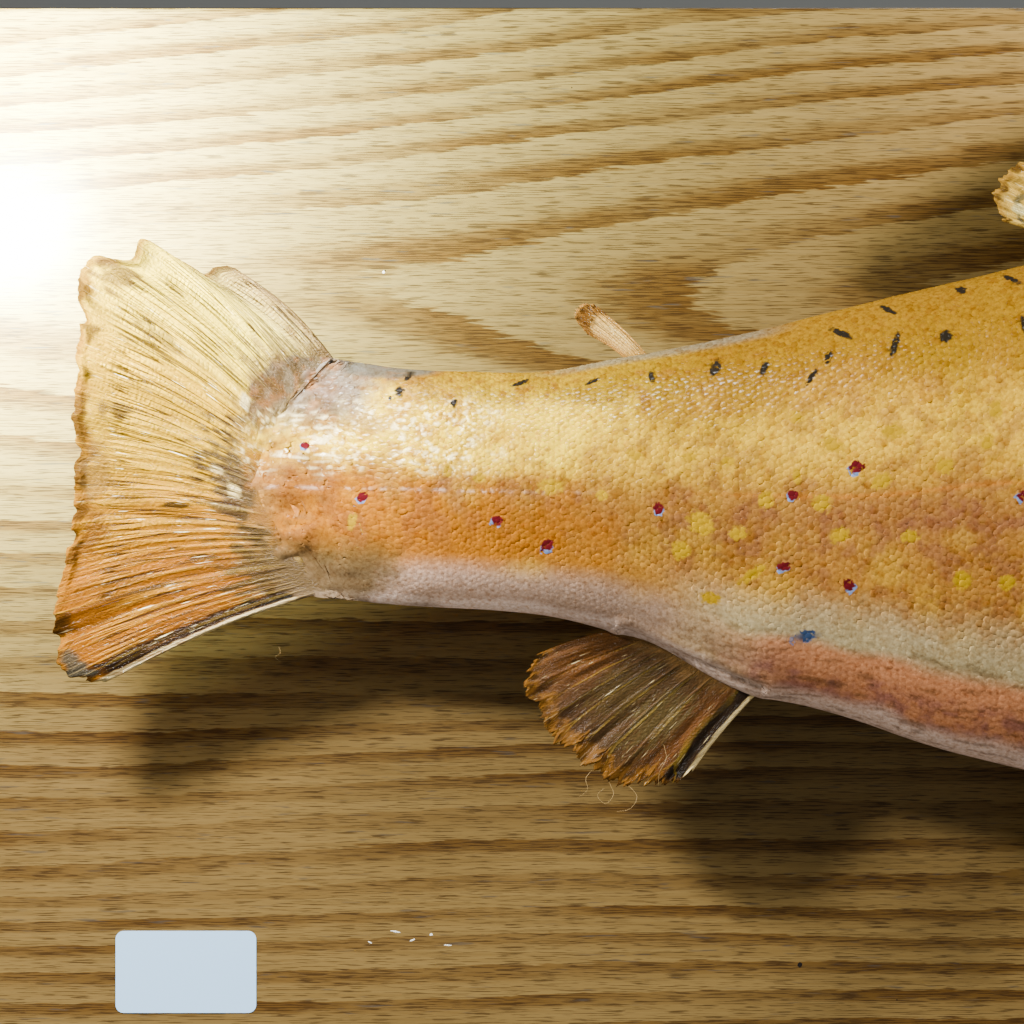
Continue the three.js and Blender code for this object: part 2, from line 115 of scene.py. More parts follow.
def smoothLine(points, count, closed=False, finer=24):
    # evenly spaced points on a smooth line through the given ones
    points = np.asarray(points, float)
    if closed:
        ends = (points[-1:], points[:2])
    else:
        ends = (2 * points[:1] - points[1:2], 2 * points[-1:] - points[-2:-1])
    padded = np.concatenate([ends[0], points, ends[1]])
    fine = []
    for a, b, c, d in zip(padded, padded[1:], padded[2:], padded[3:]):
        steps = [np.sqrt(max(np.linalg.norm(q - p), 1e-6)) for p, q in ((a, b), (b, c), (c, d))]
        start = ((b - a) / steps[0] - (c - a) / (steps[0] + steps[1]) + (c - b) / steps[1]) * steps[1]
        stop = ((c - b) / steps[1] - (d - b) / (steps[1] + steps[2]) + (d - c) / steps[2]) * steps[1]
        t = np.linspace(0, 1, finer, endpoint=False)[:, None]
        fine.append(hermite(t, b, c, start, stop))
    fine = np.concatenate(fine + [padded[-2:-1]])
    length = np.concatenate([[0], np.cumsum(np.linalg.norm(np.diff(fine, axis=0), axis=1))])
    wanted = np.linspace(0, length[-1], count)
    return np.stack([np.interp(wanted, length, fine[:, axis]) for axis in range(fine.shape[1])], -1)


def lineDistance(x, z, line):
    # how far each point is from a drawn line
    best = np.full(np.shape(x), 1e9)
    for (ax, az), (bx, bz) in zip(line, line[1:]):
        dx, dz = bx - ax, bz - az
        t = np.clip(((x - ax) * dx + (z - az) * dz) / (dx * dx + dz * dz), 0, 1)
        best = np.minimum(best, np.hypot(x - ax - t * dx, z - az - t * dz))
    return best


def insideDistance(x, z, outline):
    # distance to a closed outline, positive inside it
    crossings = np.zeros(np.shape(x), int)
    for (ax, az), (bx, bz) in zip(outline, outline[1:]):
        if az != bz:
            crossings += ((az > z) != (bz > z)) & (x < (bx - ax) * (z - az) / (bz - az) + ax)
    return np.where(crossings % 2 == 1, 1, -1) * lineDistance(x, z, outline)


# large odd numbers that scramble a place and a seed into a random-looking value
scramblers = {"axes": (73856093, 19349663, 83492791), "seed": 7919, "last": 1274126177}


def grain(points, size, seed):
    # smooth random values from 0 to 1 that change over about that size, in mm
    cell = np.asarray(points, float) / size
    base = np.floor(cell).astype(np.int64)
    part = cell - base
    part = part * part * (3 - 2 * part)
    total = np.zeros(cell.shape[:-1])
    for corner in np.ndindex(*(2,) * cell.shape[-1]):
        key = np.full(cell.shape[:-1], seed * scramblers["seed"], np.int64)
        weight = np.ones(cell.shape[:-1])
        for axis, (step, prime) in enumerate(zip(corner, scramblers["axes"])):
            key ^= (base[..., axis] + step) * prime
            weight = weight * (part[..., axis] if step else 1 - part[..., axis])
        key = (key ^ (key >> 13)) * scramblers["last"] & 0x7fffffff
        total += weight * ((key >> 7) & 0xffff) / 65535
    return total


def flecks(points, size, seed, low, high):
    # grain cut into separate flecks, from none at low to full ones at high
    return ease(low, high, grain(points, size, seed))


# meshes and materials

def gridMesh(name, places, values):
    # a grid of points laid out in space, welded where its edges meet. values are kept on its vertices
    columns, rows = places.shape[0] - 1, places.shape[1] - 1
    sheet = bmesh.new()
    bmesh.ops.create_grid(sheet, x_segments=columns, y_segments=rows, size=1.0)
    mesh = toMesh(sheet, name)
    flat = np.empty(len(mesh.vertices) * 3, np.float32)
    mesh.vertices.foreach_get("co", flat)
    flat = flat.reshape(-1, 3)
    i = np.rint((flat[:, 0] + 1) / 2 * columns).astype(int)
    j = np.rint((flat[:, 1] + 1) / 2 * rows).astype(int)
    mesh.vertices.foreach_set("co", (places[i, j] * mm).astype(np.float32).ravel())
    unwrap = mesh.uv_layers.new(name="OFBake")
    corner = np.empty(len(mesh.loops), np.int32)
    mesh.loops.foreach_get("vertex_index", corner)
    unwrap.data.foreach_set("uv", values.pop("unwrap")[i, j][corner].astype(np.float32).ravel())
    for label, value in values.items():
        keep(mesh, label, value[i, j])
    closed = bmesh.new()
    closed.from_mesh(mesh)
    bmesh.ops.remove_doubles(closed, verts=closed.verts, dist=1e-6)
    bmesh.ops.dissolve_degenerate(closed, edges=closed.edges, dist=1e-7)
    bmesh.ops.recalc_face_normals(closed, faces=closed.faces)
    closed.to_mesh(mesh)
    closed.free()
    mesh.shade_smooth()
    return mesh


def keep(mesh, label, value):
    # stores one value per vertex: a number, a place or a colour
    value = np.asarray(value, np.float32)
    if value.ndim == 1:
        mesh.attributes.new(label, "FLOAT", "POINT").data.foreach_set("value", value)
    elif label.endswith("Colour"):
        full = np.concatenate([value, np.ones((len(value), 1), np.float32)], 1)
        mesh.attributes.new(label, "FLOAT_COLOR", "POINT").data.foreach_set("color", full.ravel())
    else:
        mesh.attributes.new(label, "FLOAT_VECTOR", "POINT").data.foreach_set("vector", value.ravel())


def toMesh(shape, name):
    mesh = bpy.data.meshes.new(name)
    shape.to_mesh(mesh)
    shape.free()
    return mesh


def addObject(name, data):
    thing = bpy.data.objects.new(name, data)
    bpy.context.scene.collection.objects.link(thing)
    return thing


fishPieces = []


def placePiece(name, mesh, material, replaced=()):
    piece = addObject(name, mesh)
    mesh.materials.append(material)
    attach(piece, "root")
    if replaced:
        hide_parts(*replaced)
    fishPieces.append(piece)


# the setting that a node's kind carries behind its full stop, as in Math.MULTIPLY
nodeVariants = {"Math": "operation", "VectorMath": "operation", "Mix": "blend_type", "MapRange": "interpolation_type"}


def addNode(tree, kind, *inputs, out=None, stops=(), **settings):
    # one node: its settings, its inputs in order or by name, set or linked, and the stops of a ramp.
    # it gives back the named output, or the first
    kind, _, variant = kind.partition(".")
    node = tree.nodes.new("ShaderNode" + kind)
    if kind == "Mix":
        node.data_type = "RGBA"
    if variant:
        settings[nodeVariants[kind]] = variant
    for name, value in settings.items():
        setattr(node, name, value)
    if inputs and isinstance(inputs[0], dict):
        filled = [(node.inputs[name], value) for name, value in inputs[0].items()]
    else:
        filled = zip([socket for socket in node.inputs if socket.enabled], inputs)
    for socket, value in filled:
        if isinstance(value, bpy.types.NodeSocket):
            tree.links.new(value, socket)
        else:
            socket.default_value = value
    for k, (place, colour) in enumerate(stops):
        elements = node.color_ramp.elements
        element = elements[k] if k < 2 else elements.new(place)
        element.position = place
        element.color = colour if isinstance(colour, tuple) else (colour, colour, colour, 1)
    return node.outputs[out] if out else next((socket for socket in node.outputs if socket.enabled), None)


def newMaterial(name):
    # an empty material, and addNode for it
    material = bpy.data.materials.new(name)
    material.use_nodes = True
    material.node_tree.nodes.clear()
    return material, functools.partial(addNode, material.node_tree)


# the body's shape

stations = np.array(body["stations"], float)
backAt, bellyAt, halfAt = (smoothCurve(stations[:, 0], stations[:, k]) for k in (1, 2, 3))


def section(along):
    # centre height, half the height and half the width of a section, closed at the nose and the tail's root
    nose = np.sqrt(1 - np.clip(1 - along / body["nose"], 0, 1) ** 2)
    past = np.clip((along - body["tailEnd"]) / body["endCap"], 0, 1)
    middle = (backAt(along) + bellyAt(along)) / 2
    tall = (backAt(along) - bellyAt(along)) / 2 * nose * (1 - 0.03 * past ** 2)
    thinned = 1 - body["thinBy"] * ease(body["thinFrom"], body["tailEnd"] + 1, along)
    wide = halfAt(along) * nose * thinned * np.sqrt(1 - past ** 2)
    return middle, tall, wide


def bodyPoint(along, angle):
    # angle 0 is the left side, a quarter turn the back, a half turn the right side
    middle, tall, wide = section(along)
    up = np.sin(angle)
    behind = along + body["tailBulge"] * ease(body["bulgeFrom"], body["tailEnd"], along) * (1 - up ** 2)
    return np.stack([snoutX - behind, middleY + wide * np.cos(angle), middle + tall * up], -1)


probe = {"along": 0.3, "angle": 0.01, "toTail": 0.5}  # how far aside a surface is tried to find its slope
tiny = 1e-9


def unit(vectors):
    # the same directions with a length of one
    return vectors / np.maximum(np.linalg.norm(vectors, axis=-1, keepdims=True), tiny)


def normalOf(pointAt, along, angle):
    ahead = pointAt(along + probe["along"], angle) - pointAt(np.maximum(along - probe["along"], 0), angle)
    around = pointAt(along, angle + probe["angle"]) - pointAt(along, angle - probe["angle"])
    normal = np.cross(ahead, around)
    size = np.linalg.norm(normal, axis=-1, keepdims=True)
    return np.where(size > tiny, normal / np.maximum(size, tiny), [1.0, 0, 0])


# the head's forms: [behind the snout, height]
head = {
    "gillEdge": [(-1, 84), (-0.93, 101), (-0.73, 121), (-0.22, 133), (0.2, 132), (0.78, 120), (1, 112)],
    "gillTop": 0.6,
    "coverFront": [(97, 36), (88, 22), (85, 8), (86, -16), (97, -33), (112, -40)],
    "cheekEdge": [(84, 26), (79, 12), (78, -2), (81, -13), (87, -21), (76, -25), (60, -22)],
    "coverSeam": [(91, -13), (106, -16), (128, -25)],
    "lowerSeam": [(68, -26), (84, -30), (98, -35), (116, -39)],
    "mouth": [(-4, -2.6), (20, -6.4), (48, -14), (76, -22.4)],
    "lip": [(15, 2.2), (34, -1.6), (56, -6.4), (73, -12), (78.5, -17.5), (74, -20.6), (56, -15.6), (34, -9.4),
            (15, -4.6)],
    "lipSeam": [(30, -3.4), (52, -8.4), (68, -12.6), (75, -16)],
    "nostrils": [(25.5, 12.4, 1.35), (29.4, 13.0, 1.1)],
    "brow": [(30, 17.6), (44, 21.2), (60, 21.5), (70, 19.5)],
    "coverRise": 1.9,
    "lipRise": 1.5,
    "gillGroove": 2.2,
    "mouthGroove": 2.1,
}
eyePlace = {"at": 46, "height": 9.5, "radius": 8.2, "depth": 4.6, "proud": 2.1, "inside": 0.1,
            "columns": 56, "rows": 28}

gillAt = smoothCurve(*np.array(head["gillEdge"]).T)
mouthAt = smoothCurve(*np.array(head["mouth"]).T)
lines = {name: smoothLine(head[name], 26) for name in ("coverFront", "cheekEdge", "coverSeam", "lowerSeam",
                                                       "lipSeam", "brow")}
lines["lip"] = smoothLine(head["lip"], 48, closed=True)
# everything behind the front edge of the gill cover
lines["cover"] = np.concatenate([lines["coverFront"], [(140, -44), (140, 40), lines["coverFront"][0]]])


def headRelief(along, height, up):
    # how far the head's forms stand out of the plain body, or sink into it
    rise = np.zeros_like(along)
    cover = insideDistance(along, height, lines["cover"]) if along.size else along
    behindGill = along - gillAt(up)
    gillStrength = 1 - ease(head["gillTop"] - 0.16, head["gillTop"], up)
    onCover = ease(-0.5, 2.2, cover) * gillStrength
    rise += head["coverRise"] * onCover * ease(0.45, -0.15, behindGill)
    groove = ease(-0.1, 0.5, behindGill) * ease(5.5, 0.8, behindGill)
    rise -= head["gillGroove"] * gillStrength * groove
    rise -= 0.45 * bump(cover + 0.6, 0.7) * gillStrength * (behindGill < 0)
    rise += 0.5 * ease(1.2, -0.6, lineDistance(along, height, lines["cheekEdge"]) - 1.2) * (cover < 1)
    rise -= 0.45 * bump(lineDistance(along, height, lines["coverSeam"]), 0.6) * (behindGill < 0)
    rise -= 0.5 * bump(lineDistance(along, height, lines["lowerSeam"]), 0.7) * (behindGill < 0)
    # the folds of the gill membrane, under the cover
    folds = between(along, 62, 112, 8) * (1 - ease(-0.66, -0.56, up)) * (behindGill < 0)
    rise += 0.34 * folds * np.sin((up - along * 0.0011) * 2 * np.pi / 0.052)
    # the upper lip's plate and the mouth
    lip = insideDistance(along, height, lines["lip"])
    rise += head["lipRise"] * ease(-0.35, 1.1, lip)
    rise -= 0.4 * bump(lip + 0.9, 0.6)
    rise -= 0.35 * bump(lineDistance(along, height, lines["lipSeam"]), 0.5)
    toMouth = height - mouthAt(along)
    inMouth = 1 - ease(73, 79, along)
    rise -= head["mouthGroove"] * bump(toMouth, 0.62) * inMouth
    rise += 0.55 * bump(np.abs(toMouth) - 2.0, 1.3) * inMouth
    rise -= 0.7 * bump(toMouth + 8, 2.2) * between(along, 22, 66, 8)
    # the eye's hollow and rim, the brow and the nostrils
    toEye = np.hypot(along - eyePlace["at"], height - eyePlace["height"])
    radius = eyePlace["radius"]
    rise -= 6.5 * (1 - ease(radius - 1.1, radius + 0.55, toEye))
    rise += 0.9 * bump(toEye - radius - 1.3, 1.1)
    rise -= 0.3 * bump(toEye - radius - 3.6, 1.2)
    rise += 0.8 * bump(lineDistance(along, height, lines["brow"]), 2.4)
    for at, level, size in head["nostrils"]:
        toNostril = np.hypot(along - at, height - level)
        rise -= 1.7 * bump(toNostril, size)
        rise += 0.4 * bump(toNostril - size * 1.9, 0.6)
    rise -= 0.9 * bump(np.hypot(along - 66, height + 1), 9)
    rise += 0.9 * bump(along - 3.5, 3.2) * bump(up + 0.75, 0.4)
    return rise


lateralLine = smoothLine([(118, 25), (150, 20.5), (240, 16), (330, 13.5), (362, 10.2), (410, 10.9), (458, 11.5),
                          (500, 12.9), (516, 14)], 60)
ventCrease = smoothLine([(388.6, -39.2), (397.4, -35.9), (410.2, -30.8), (423.2, -25.2)], 16)


def skinRelief(along, angle, point):
    # the head's forms, the low lumps of a stuffed skin, and the step down to where the scales lie
    up, height = np.sin(angle), point[..., 2]
    rise = np.zeros_like(along)
    isHead = along < body["headEnd"]
    if isHead.any():
        rise[isHead] = headRelief(along[isHead], height[isHead], up[isHead])
    rise += body["lumps"] * (grain(point, 34, 5) - 0.5) * ease(100, 170, along)
    rise += 0.3 * (grain(point, 11, 6) - 0.5) * ease(20, 60, along)
    rise -= body["scaleDepth"] * ease(0.5, 6, along - gillAt(up))
    lateral = lineDistance(along, height, lateralLine)
    rise -= 0.07 * bump(lateral - 0.75, 0.45) * ease(120, 140, along) * (along < 500)
    crease = lineDistance(along, height, ventCrease)
    rise -= 0.9 * bump(crease, 0.8)
    rise += 0.5 * bump(crease - 2.6, 1.6)
    # dried flesh puckers where it ends on the tail fin
    pucker = 2.2 * (grain(point, 6.5, 37) - 0.5) + 0.9 * (grain(point, 2.2, 28) - 0.5)
    rise += pucker * ease(*body["pucker"], along) * (1 - 0.75 * up ** 4)
    # the muscle's chevrons show faintly under a dried skin
    chevron = np.cos((along + 0.55 * np.abs(height - 12)) * 2 * np.pi / 7.5)
    rise += 0.07 * chevron * ease(150, 200, along) * (1 - ease(0.5, 0.8, np.abs(up)))
    # the sheet closes on itself at its end
    return rise * ease(body["tailEnd"] + body["endCap"], body["tailEnd"], along)


def skinPoint(along, angle):
    point = bodyPoint(along, angle)
    return point + normalOf(bodyPoint, along, angle) * skinRelief(along, angle, point)[..., None]


# the fish's paint

paint = {
    "flank": "#7d551d", "flankDark": "#5e3926", "flankLight": "#ac8a0f", "back": "#624701", "backTop": "#5e420f",
    "paleGold": "#cbaa01", "tailOrange": "#7d4a02", "paintedStemGlint": "#fff0b8", "gilt": "#6b5300",
    "rootBrown": "#6d5a3d", "rootTan": "#665c50", "rootPit": "#4a3a24", "rootOlive": "#3e311b",
    "pinkWhite": "#846e60", "greenWhite": "#897c5d", "redBand": "#a26642", "purple": "#5d383e",
    "bellyWhite": "#bea597", "fillerPale": "#504d42", "filler": "#41413a", "speckle": "#5d3c0d",
    "crease": "#37230d", "lateral": "#8e5412", "crown": "#42320d", "cheek": "#7f5a1e", "cover": "#784f18",
    "jaw": "#8d7344", "chin": "#422d11", "mouthBlack": "#211711", "sheen": "#a8744e", "throat": "#9c8151",
    "gillShadow": "#47200b", "headMark": "#261d07", "red": "#400c10", "halo": "#51617f", "yellow": "#806200",
    "black": "#17130d", "blueGrey": "#26344c",
}


def layPaint(colour, coats):
    # lays coats on an array of colours, each a paint's name or a hex colour and how much of it
    for code, amount in coats:
        amount = np.clip(amount, 0, 1)[..., None]
        colour = colour * (1 - amount) + np.array(linear(paint.get(code, code))[:3]) * amount
    return colour


def paintBody(along, height, up, point):
    patches, broad = grain(point, 9, 11), grain(point, 24, 14)
    mottle = 0.6 * grain(point, 3.4, 12) + 0.4 * grain(point, 1.5, 13)
    patchy, spotty = patches - 0.5, mottle - 0.5
    aheadOfStem = ease(470, 420, along)
    mottled = ease(0.44, 0.66, mottle + 0.25 * (broad - 0.5))
    # the tail stem: pale gold above, partly pale paint and partly a painted highlight, deep orange below
    glow = np.hypot((along - 466) / 52, (height - 28) / 13.5) + 0.9 * patchy + 0.5 * spotty
    ember = np.hypot((along - 474) / 50, (height - 1.5 - 6 * ease(465, 500, along)) / 14)
    ember = ember + 0.8 * patchy + 0.5 * spotty
    belt = between(height, 0, 12, 4) * ease(470, 330, along) * ease(300, 340, along)
    # the belly: green-white line, red band, purple mottling, white edge
    low = up + 0.06 * patchy
    behindVent = ease(392, 420, along)
    red = ease(-0.61, -0.69, low) * ease(404, 376, along + 20 * (broad - 0.5))
    purple = between(low, -0.92, -0.78, 0.04) * ease(0.35, 0.7, mottle) * ease(410, 380, along)
    colour = layPaint(np.tile(linear(paint["flank"])[:3], (*along.shape, 1)), [
        ("flankLight", ease(0.45, 0.8, patches) * 0.28),
        # a paler band along the upper flank ahead of the stem: partly pale paint, partly a painted highlight
        ("flankLight", bump(up - 0.4, 0.26) * (0.5 + 0.5 * patches) * aheadOfStem * 0.9),
        ("flankDark", mottled * between(up, -0.5, 0.62, 0.16) * 0.46),
        ("flankDark", between(up, -0.32, 0.1, 0.1) * (0.4 + 0.4 * mottled) * aheadOfStem * 0.45),
        ("back", ease(0.38, 0.78, up + 0.25 * patchy) * 0.85),
        ("backTop", ease(0.82, 1.0, up + 0.1 * spotty) * 0.6),
        ("paleGold", ease(1.15, 0.45, glow) * 0.8),
        ("tailOrange", ease(1.2, 0.5, ember) * 0.85),
        ("flankDark", belt * (0.3 + 0.5 * mottle)),
        ("pinkWhite", ease(-0.52, -0.76, low) * behindVent * 0.9),
        ("greenWhite", ease(-0.34, -0.6, low + 0.1 * spotty) * (1 - behindVent) * 0.9),
        ("redBand", red * (0.8 + 0.2 * broad)),
        ("purple", purple * 0.6),
        ("purple", between(low, -0.9, -0.7, 0.08) * bump(along - 393, 14) * 0.3),
        ("bellyWhite", ease(-0.87, -0.955, low) * 0.85)])
    # the middle of the rear half is browner, and its underside paler
    worn = 0.35 * ease(425, 455, along) * ease(-0.45, -0.65, up)
    colour = colour * (1 + worn - 0.2 * between(along, 385, 470, 22) * ease(-0.5, -0.3, up))[..., None]
    # thin things: the lateral line, the crease, the dark flesh at the tail's root and the filled seam on the back
    toLateral = lineDistance(along, height, lateralLine)
    toCrease = lineDistance(along, height, ventCrease)
    toRoot = snoutX - point[..., 0] + 14 * patchy + 9 * spotty
    dull = flecks(point, 4.2, 30, 0.5, 0.66) * ease(430, 480, along) * ease(-10, 4, height)
    onGold = ease(436, 462, along) * ease(9, 16, height)
    brown = flecks(point, 1.9, 38, 0.53, 0.66) * flecks(point, 8, 39, 0.3, 0.6)
    # painted glints: near-white flecks on the stem's pale gold, standing in for highlights on its wet varnish
    paintedStemGlints = flecks(point, 0.8, 40, 0.62, 0.72) * flecks(point, 5, 41, 0.4, 0.6)
    paintedStemGlints = paintedStemGlints * ease(448, 470, along) * between(height, 17, 35, 4)
    gilt = between(along, 408, 474, 12) * ease(31, 36, height + 4 * patchy)
    # painted shade in the pits of the dried flesh at the tail's root
    pits = flecks(point, 1.7, 27, 0.42, 0.66) * ease(494, 507, toRoot)
    pits = pits * ease(0.3, 0.6, grain(point, 5, 29) + 0.25 * ease(22, 32, height))
    filler = np.hypot((along - 481) / 13, (height - 44) / 3.4) + 0.4 * patchy
    veins = ease(0.06, 0.02, np.abs(grain(point, 2.6, 18) - 0.5)) * flecks(point, 15, 19, 0.5, 0.72)
    fibre = grain(point * [0.14, 1, 1], 0.9, 20) * ease(-0.5, -0.62, up)
    speckle = flecks(point, 1.9, 16, 0.70, 0.8) * flecks(point, 13, 17, 0.42, 0.7)
    return layPaint(colour, [
        ("lateral", bump(toLateral, 0.55) * 0.5 * ease(116, 130, along) * ease(420, 370, along)),
        # painted shade along the crease by the vent
        ("crease", bump(toCrease, 0.55) * flecks(point, 2.2, 15, 0.3, 0.6) * 0.85),
        ("rootTan", ease(479, 493, toRoot) * ease(23, 34, height) * 0.9),
        ("rootBrown", ease(508, 518, toRoot) * ease(36, 20, height) * 0.35),
        ("rootOlive", ease(472, 489, toRoot) * ease(5, -7, height) * 0.92),
        ("flankDark", dull * 0.35),
        ("bellyWhite", bump(toLateral, 0.35) * flecks(point, 1.1, 31, 0.45, 0.7) * ease(425, 460, along) * 0.4),
        ("tailOrange", brown * onGold * 0.45),
        ("paintedStemGlint", paintedStemGlints * 0.6),
        ("gilt", gilt * (0.65 + 0.3 * mottle)),
        ("rootPit", pits * (0.45 + 0.3 * ease(20, 34, height) + 0.25 * ease(4, -8, height))),
        ("filler", ease(1.15, 0.8, filler) * 0.85),
        ("fillerPale", between(along, 385, 442, 8) * ease(0.93, 0.975, up) * 0.7),
        ("speckle", veins * ease(-0.5, -0.3, up) * 0.45),
        ("crease", ease(0.64, 0.78, fibre) * (0.5 - 0.35 * behindVent)),
        ("speckle", speckle * ease(-0.6, -0.3, up) * 0.6)])


def paintHead(colour, along, height, up, point):
    patches = grain(point, 7, 21)
    mottle = 0.5 * grain(point, 2.6, 22) + 0.5 * grain(point, 1.2, 23)
    past = along - gillAt(up) + 16 * (patches - 0.5) * ease(0.5, 0.7, up)
    onHead = ease(2 + 62 * ease(0.5, 0.72, up), -3, past)[..., None]
    toMouth = height - mouthAt(along)
    toEye = np.hypot(along - eyePlace["at"], height - eyePlace["height"])
    # worm tracks on the crown, flecks on the cheeks and a dark smudge on the gill cover
    worms = ease(0.06, 0.03, np.abs(grain(point, 5.5, 24) - 0.5)) * ease(0.3, 0.5, up)
    worms *= ease(125, 95, along)
    tracks = np.maximum(ease(0.62, 0.68, mottle) * ease(-0.5, 0.1, up), worms)
    smudge = bump(np.hypot(along - 108, (height - 14) * 0.8), 9)
    skin = layPaint(np.tile(linear(paint["cheek"])[:3], (*along.shape, 1)), [
        ("cover", ease(-1, 3, insideDistance(along, height, lines["cover"])) * 0.8),
        ("crown", ease(0.34, 0.72, up + 0.2 * (patches - 0.5)) * 0.9),
        ("jaw", ease(1, -3, toMouth) * (along < 84) * 0.85),
        ("throat", ease(-0.6, -0.8, up) * 0.8),
        ("chin", ease(15, 3, along + 8 * (patches - 0.5)) * 0.75),
        ("headMark", tracks * 0.75),
        ("headMark", smudge * (0.3 + 0.5 * patches)),
        # a painted sheen on the gill cover
        ("sheen", bump(np.hypot((along - 101) / 2, height + 14), 9) * patches * 0.55),
        ("throat", between(along, 50, 84, 6) * between(height, -12, 6, 4) * patches * 0.35)])
    skin = skin * (0.78 + 0.44 * grain(point, 0.9, 25))[..., None]
    seams = [lineDistance(along, height, lines[name]) for name in ("coverFront", "coverSeam", "lowerSeam", "lipSeam")]
    nostrils = [(np.hypot(along - at, height - level), size) for at, level, size in head["nostrils"]]
    skin = layPaint(skin, [
        ("mouthBlack", bump(toMouth, 0.9) * ease(80, 74, along) * 0.95),
        ("crown", bump(insideDistance(along, height, lines["lip"]), 0.8) * 0.8),
        *[("crown", bump(toSeam, 0.7) * 0.7) for toSeam in seams],
        # painted shade in the crease round the eye
        ("mouthBlack", bump(toEye - eyePlace["radius"] - 0.2, 0.9) * 0.8),
        ("gillShadow", bump(along - gillAt(up) - 0.5, 1.1) * (up < head["gillTop"])),
        # painted shade in the nostrils' pits
        *[("mouthBlack", bump(toNostril, size * 0.8) * 0.9) for toNostril, size in nostrils]])
    return colour * (1 - onHead) + skin * onHead


# painted marks: behind the snout, height, length, width, tilt in degrees
marks = {
    "red": [(505.3, 23.2, 2.0, 1.8, 0), (490.5, 10.1, 2.8, 2.3, 30), (455.8, 3.9, 2.8, 2.3, 10),
            (443.2, -2.3, 3.2, 2.6, 40), (415.1, 7.2, 2.6, 2.3, 60), (381.4, 10.5, 2.5, 2.3, 0),
            (365.7, 17.5, 3.4, 2.8, 20), (383.6, -7.4, 3.0, 2.2, 20), (367.4, -12.0, 3.1, 2.6, 80),
            (324.5, 10.0, 3.0, 2.8, 0)],
    "yellow": [(468.6, 16.9, 3.4, 2.4, 80), (460.3, 14.9, 3.0, 2.4, 0), (442.4, 12.8, 6.6, 4.2, 0),
               (429.2, 10.5, 3.0, 2.6, 0), (421.2, 20.7, 4.8, 2.0, 160), (407.4, 20.2, 3.8, 1.9, 0),
               (397.4, 18.9, 3.2, 2.4, 0), (404.5, 3.2, 6.8, 5.2, 140), (395.2, 0.9, 4.0, 3.2, 0),
               (391.4, -9.5, 7.8, 2.4, 35), (388.2, 9.2, 4.4, 3.6, 90), (380.4, 30.0, 3.6, 2.8, 0),
               (371.6, 23.1, 6.0, 3.2, 150), (356.1, 26.4, 5.6, 3.6, 0), (359.6, 14.2, 5.2, 3.8, 30),
               (343.9, 17.7, 4.6, 4.0, 0), (331.0, 31.6, 3.4, 4.2, 0), (333.4, 23.5, 3.2, 3.6, 0),
               (352.6, 0.2, 4.0, 3.0, 0), (339.6, -10.8, 4.2, 4.6, 0), (369.9, 0.4, 4.8, 3.8, 20),
               (493.1, 3.8, 4.4, 2.2, 80), (374.3, 8.5, 4.6, 4.4, 90), (328.5, -11.4, 3.8, 3.8, 0),
               (380.5, 15.2, 4.2, 2.0, 100), (401.8, -15.6, 4.6, 3.0, 170), (409.5, -3.4, 4.4, 4.4, 0)],
    "black": [(450.0, 39.3, 5.0, 1.0, 20), (431.7, 39.5, 3.6, 1.0, 25), (416.5, 40.5, 1.5, 3.2, 15),
              (400.2, 42.9, 2.2, 4.8, 340), (388.0, 42.7, 1.8, 3.4, 335), (371.9, 45.4, 1.9, 3.4, 340),
              (376.3, 40.4, 1.4, 5.2, 325), (368.2, 51.7, 5.8, 1.6, 335), (355.2, 48.6, 1.8, 6.6, 340),
              (342.4, 50.6, 2.8, 3.2, 320), (356.1, 58.0, 4.4, 1.4, 330), (337.2, 63.0, 2.6, 2.0, 0),
              (324.5, 65.7, 5.0, 1.4, 330), (322.9, 53.5, 1.8, 4.4, 0),
              (480.9, 37.0, 2.2, 2.4, 20), (478.6, 41.2, 1.4, 3.6, 320), (466.9, 34.2, 1.8, 2.4, 0),
              (483.4, 35.4, 1.0, 1.0, 0)],
    "blue": [(378.2, -25.3, 5.4, 2.8, 10)],
    "colours": {"red": "red", "yellow": "yellow", "black": "black", "blue": "blueGrey"},
    "halo": {"red": 1, "yellow": 0, "black": 0, "blue": 0.6},
    # on the parts that have none listed: how many, seed, how high, how long
    "scattered": {"red": (16, 5, (-0.35, 0.45), (2.2, 3.1)), "yellow": (46, 6, (-0.4, 0.62), (3, 6.4)),
                  "black": (34, 7, (0.66, 0.93), (2, 5.5))},
    "scatterFrom": 136, "scatterTo": {-1: 312, 1: 500},  # behind the snout, on the right and on the left side
    "apart": 9,
    "reach": 5,  # a point further from a mark than this has none
    "none": 9.0,  # the place of such a point, well outside any mark
}


def scatterMarks(kind, side):
    count, seed, levels, sizes = marks["scattered"][kind]
    draw = np.random.default_rng(seed)
    placed = []
    for _ in range(count * 12):
        along = draw.uniform(marks["scatterFrom"], marks["scatterTo"][side])
        middle, tall, _ = section(np.array([along]))
        height = middle[0] + tall[0] * draw.uniform(*levels)
        size, tilt = draw.uniform(*sizes), draw.uniform(-40, 40)
        width = size * draw.uniform(0.7, 0.95) if kind != "black" else draw.uniform(0.9, 1.8)
        clear = all(np.hypot(along - m[0], height - m[1]) > marks["apart"] for m in placed)
        if clear and len(placed) < count:
            placed.append((along, height, size, width, tilt + (60 if kind == "black" else 0)))
    return placed


def marksOfSide(side):
    # rows of place, size, tilt, colour and halo
    rows = []
    for kind, name in marks["colours"].items():
        placed = list(marks[kind]) if side < 0 else []
        if kind in marks["scattered"]:
            placed += scatterMarks(kind, side)
        rows += [(*mark, *linear(paint[name])[:3], marks["halo"][kind]) for mark in placed]
    return np.array(rows)


sideMarks = {side: marksOfSide(side) for side in (-1, 1)}


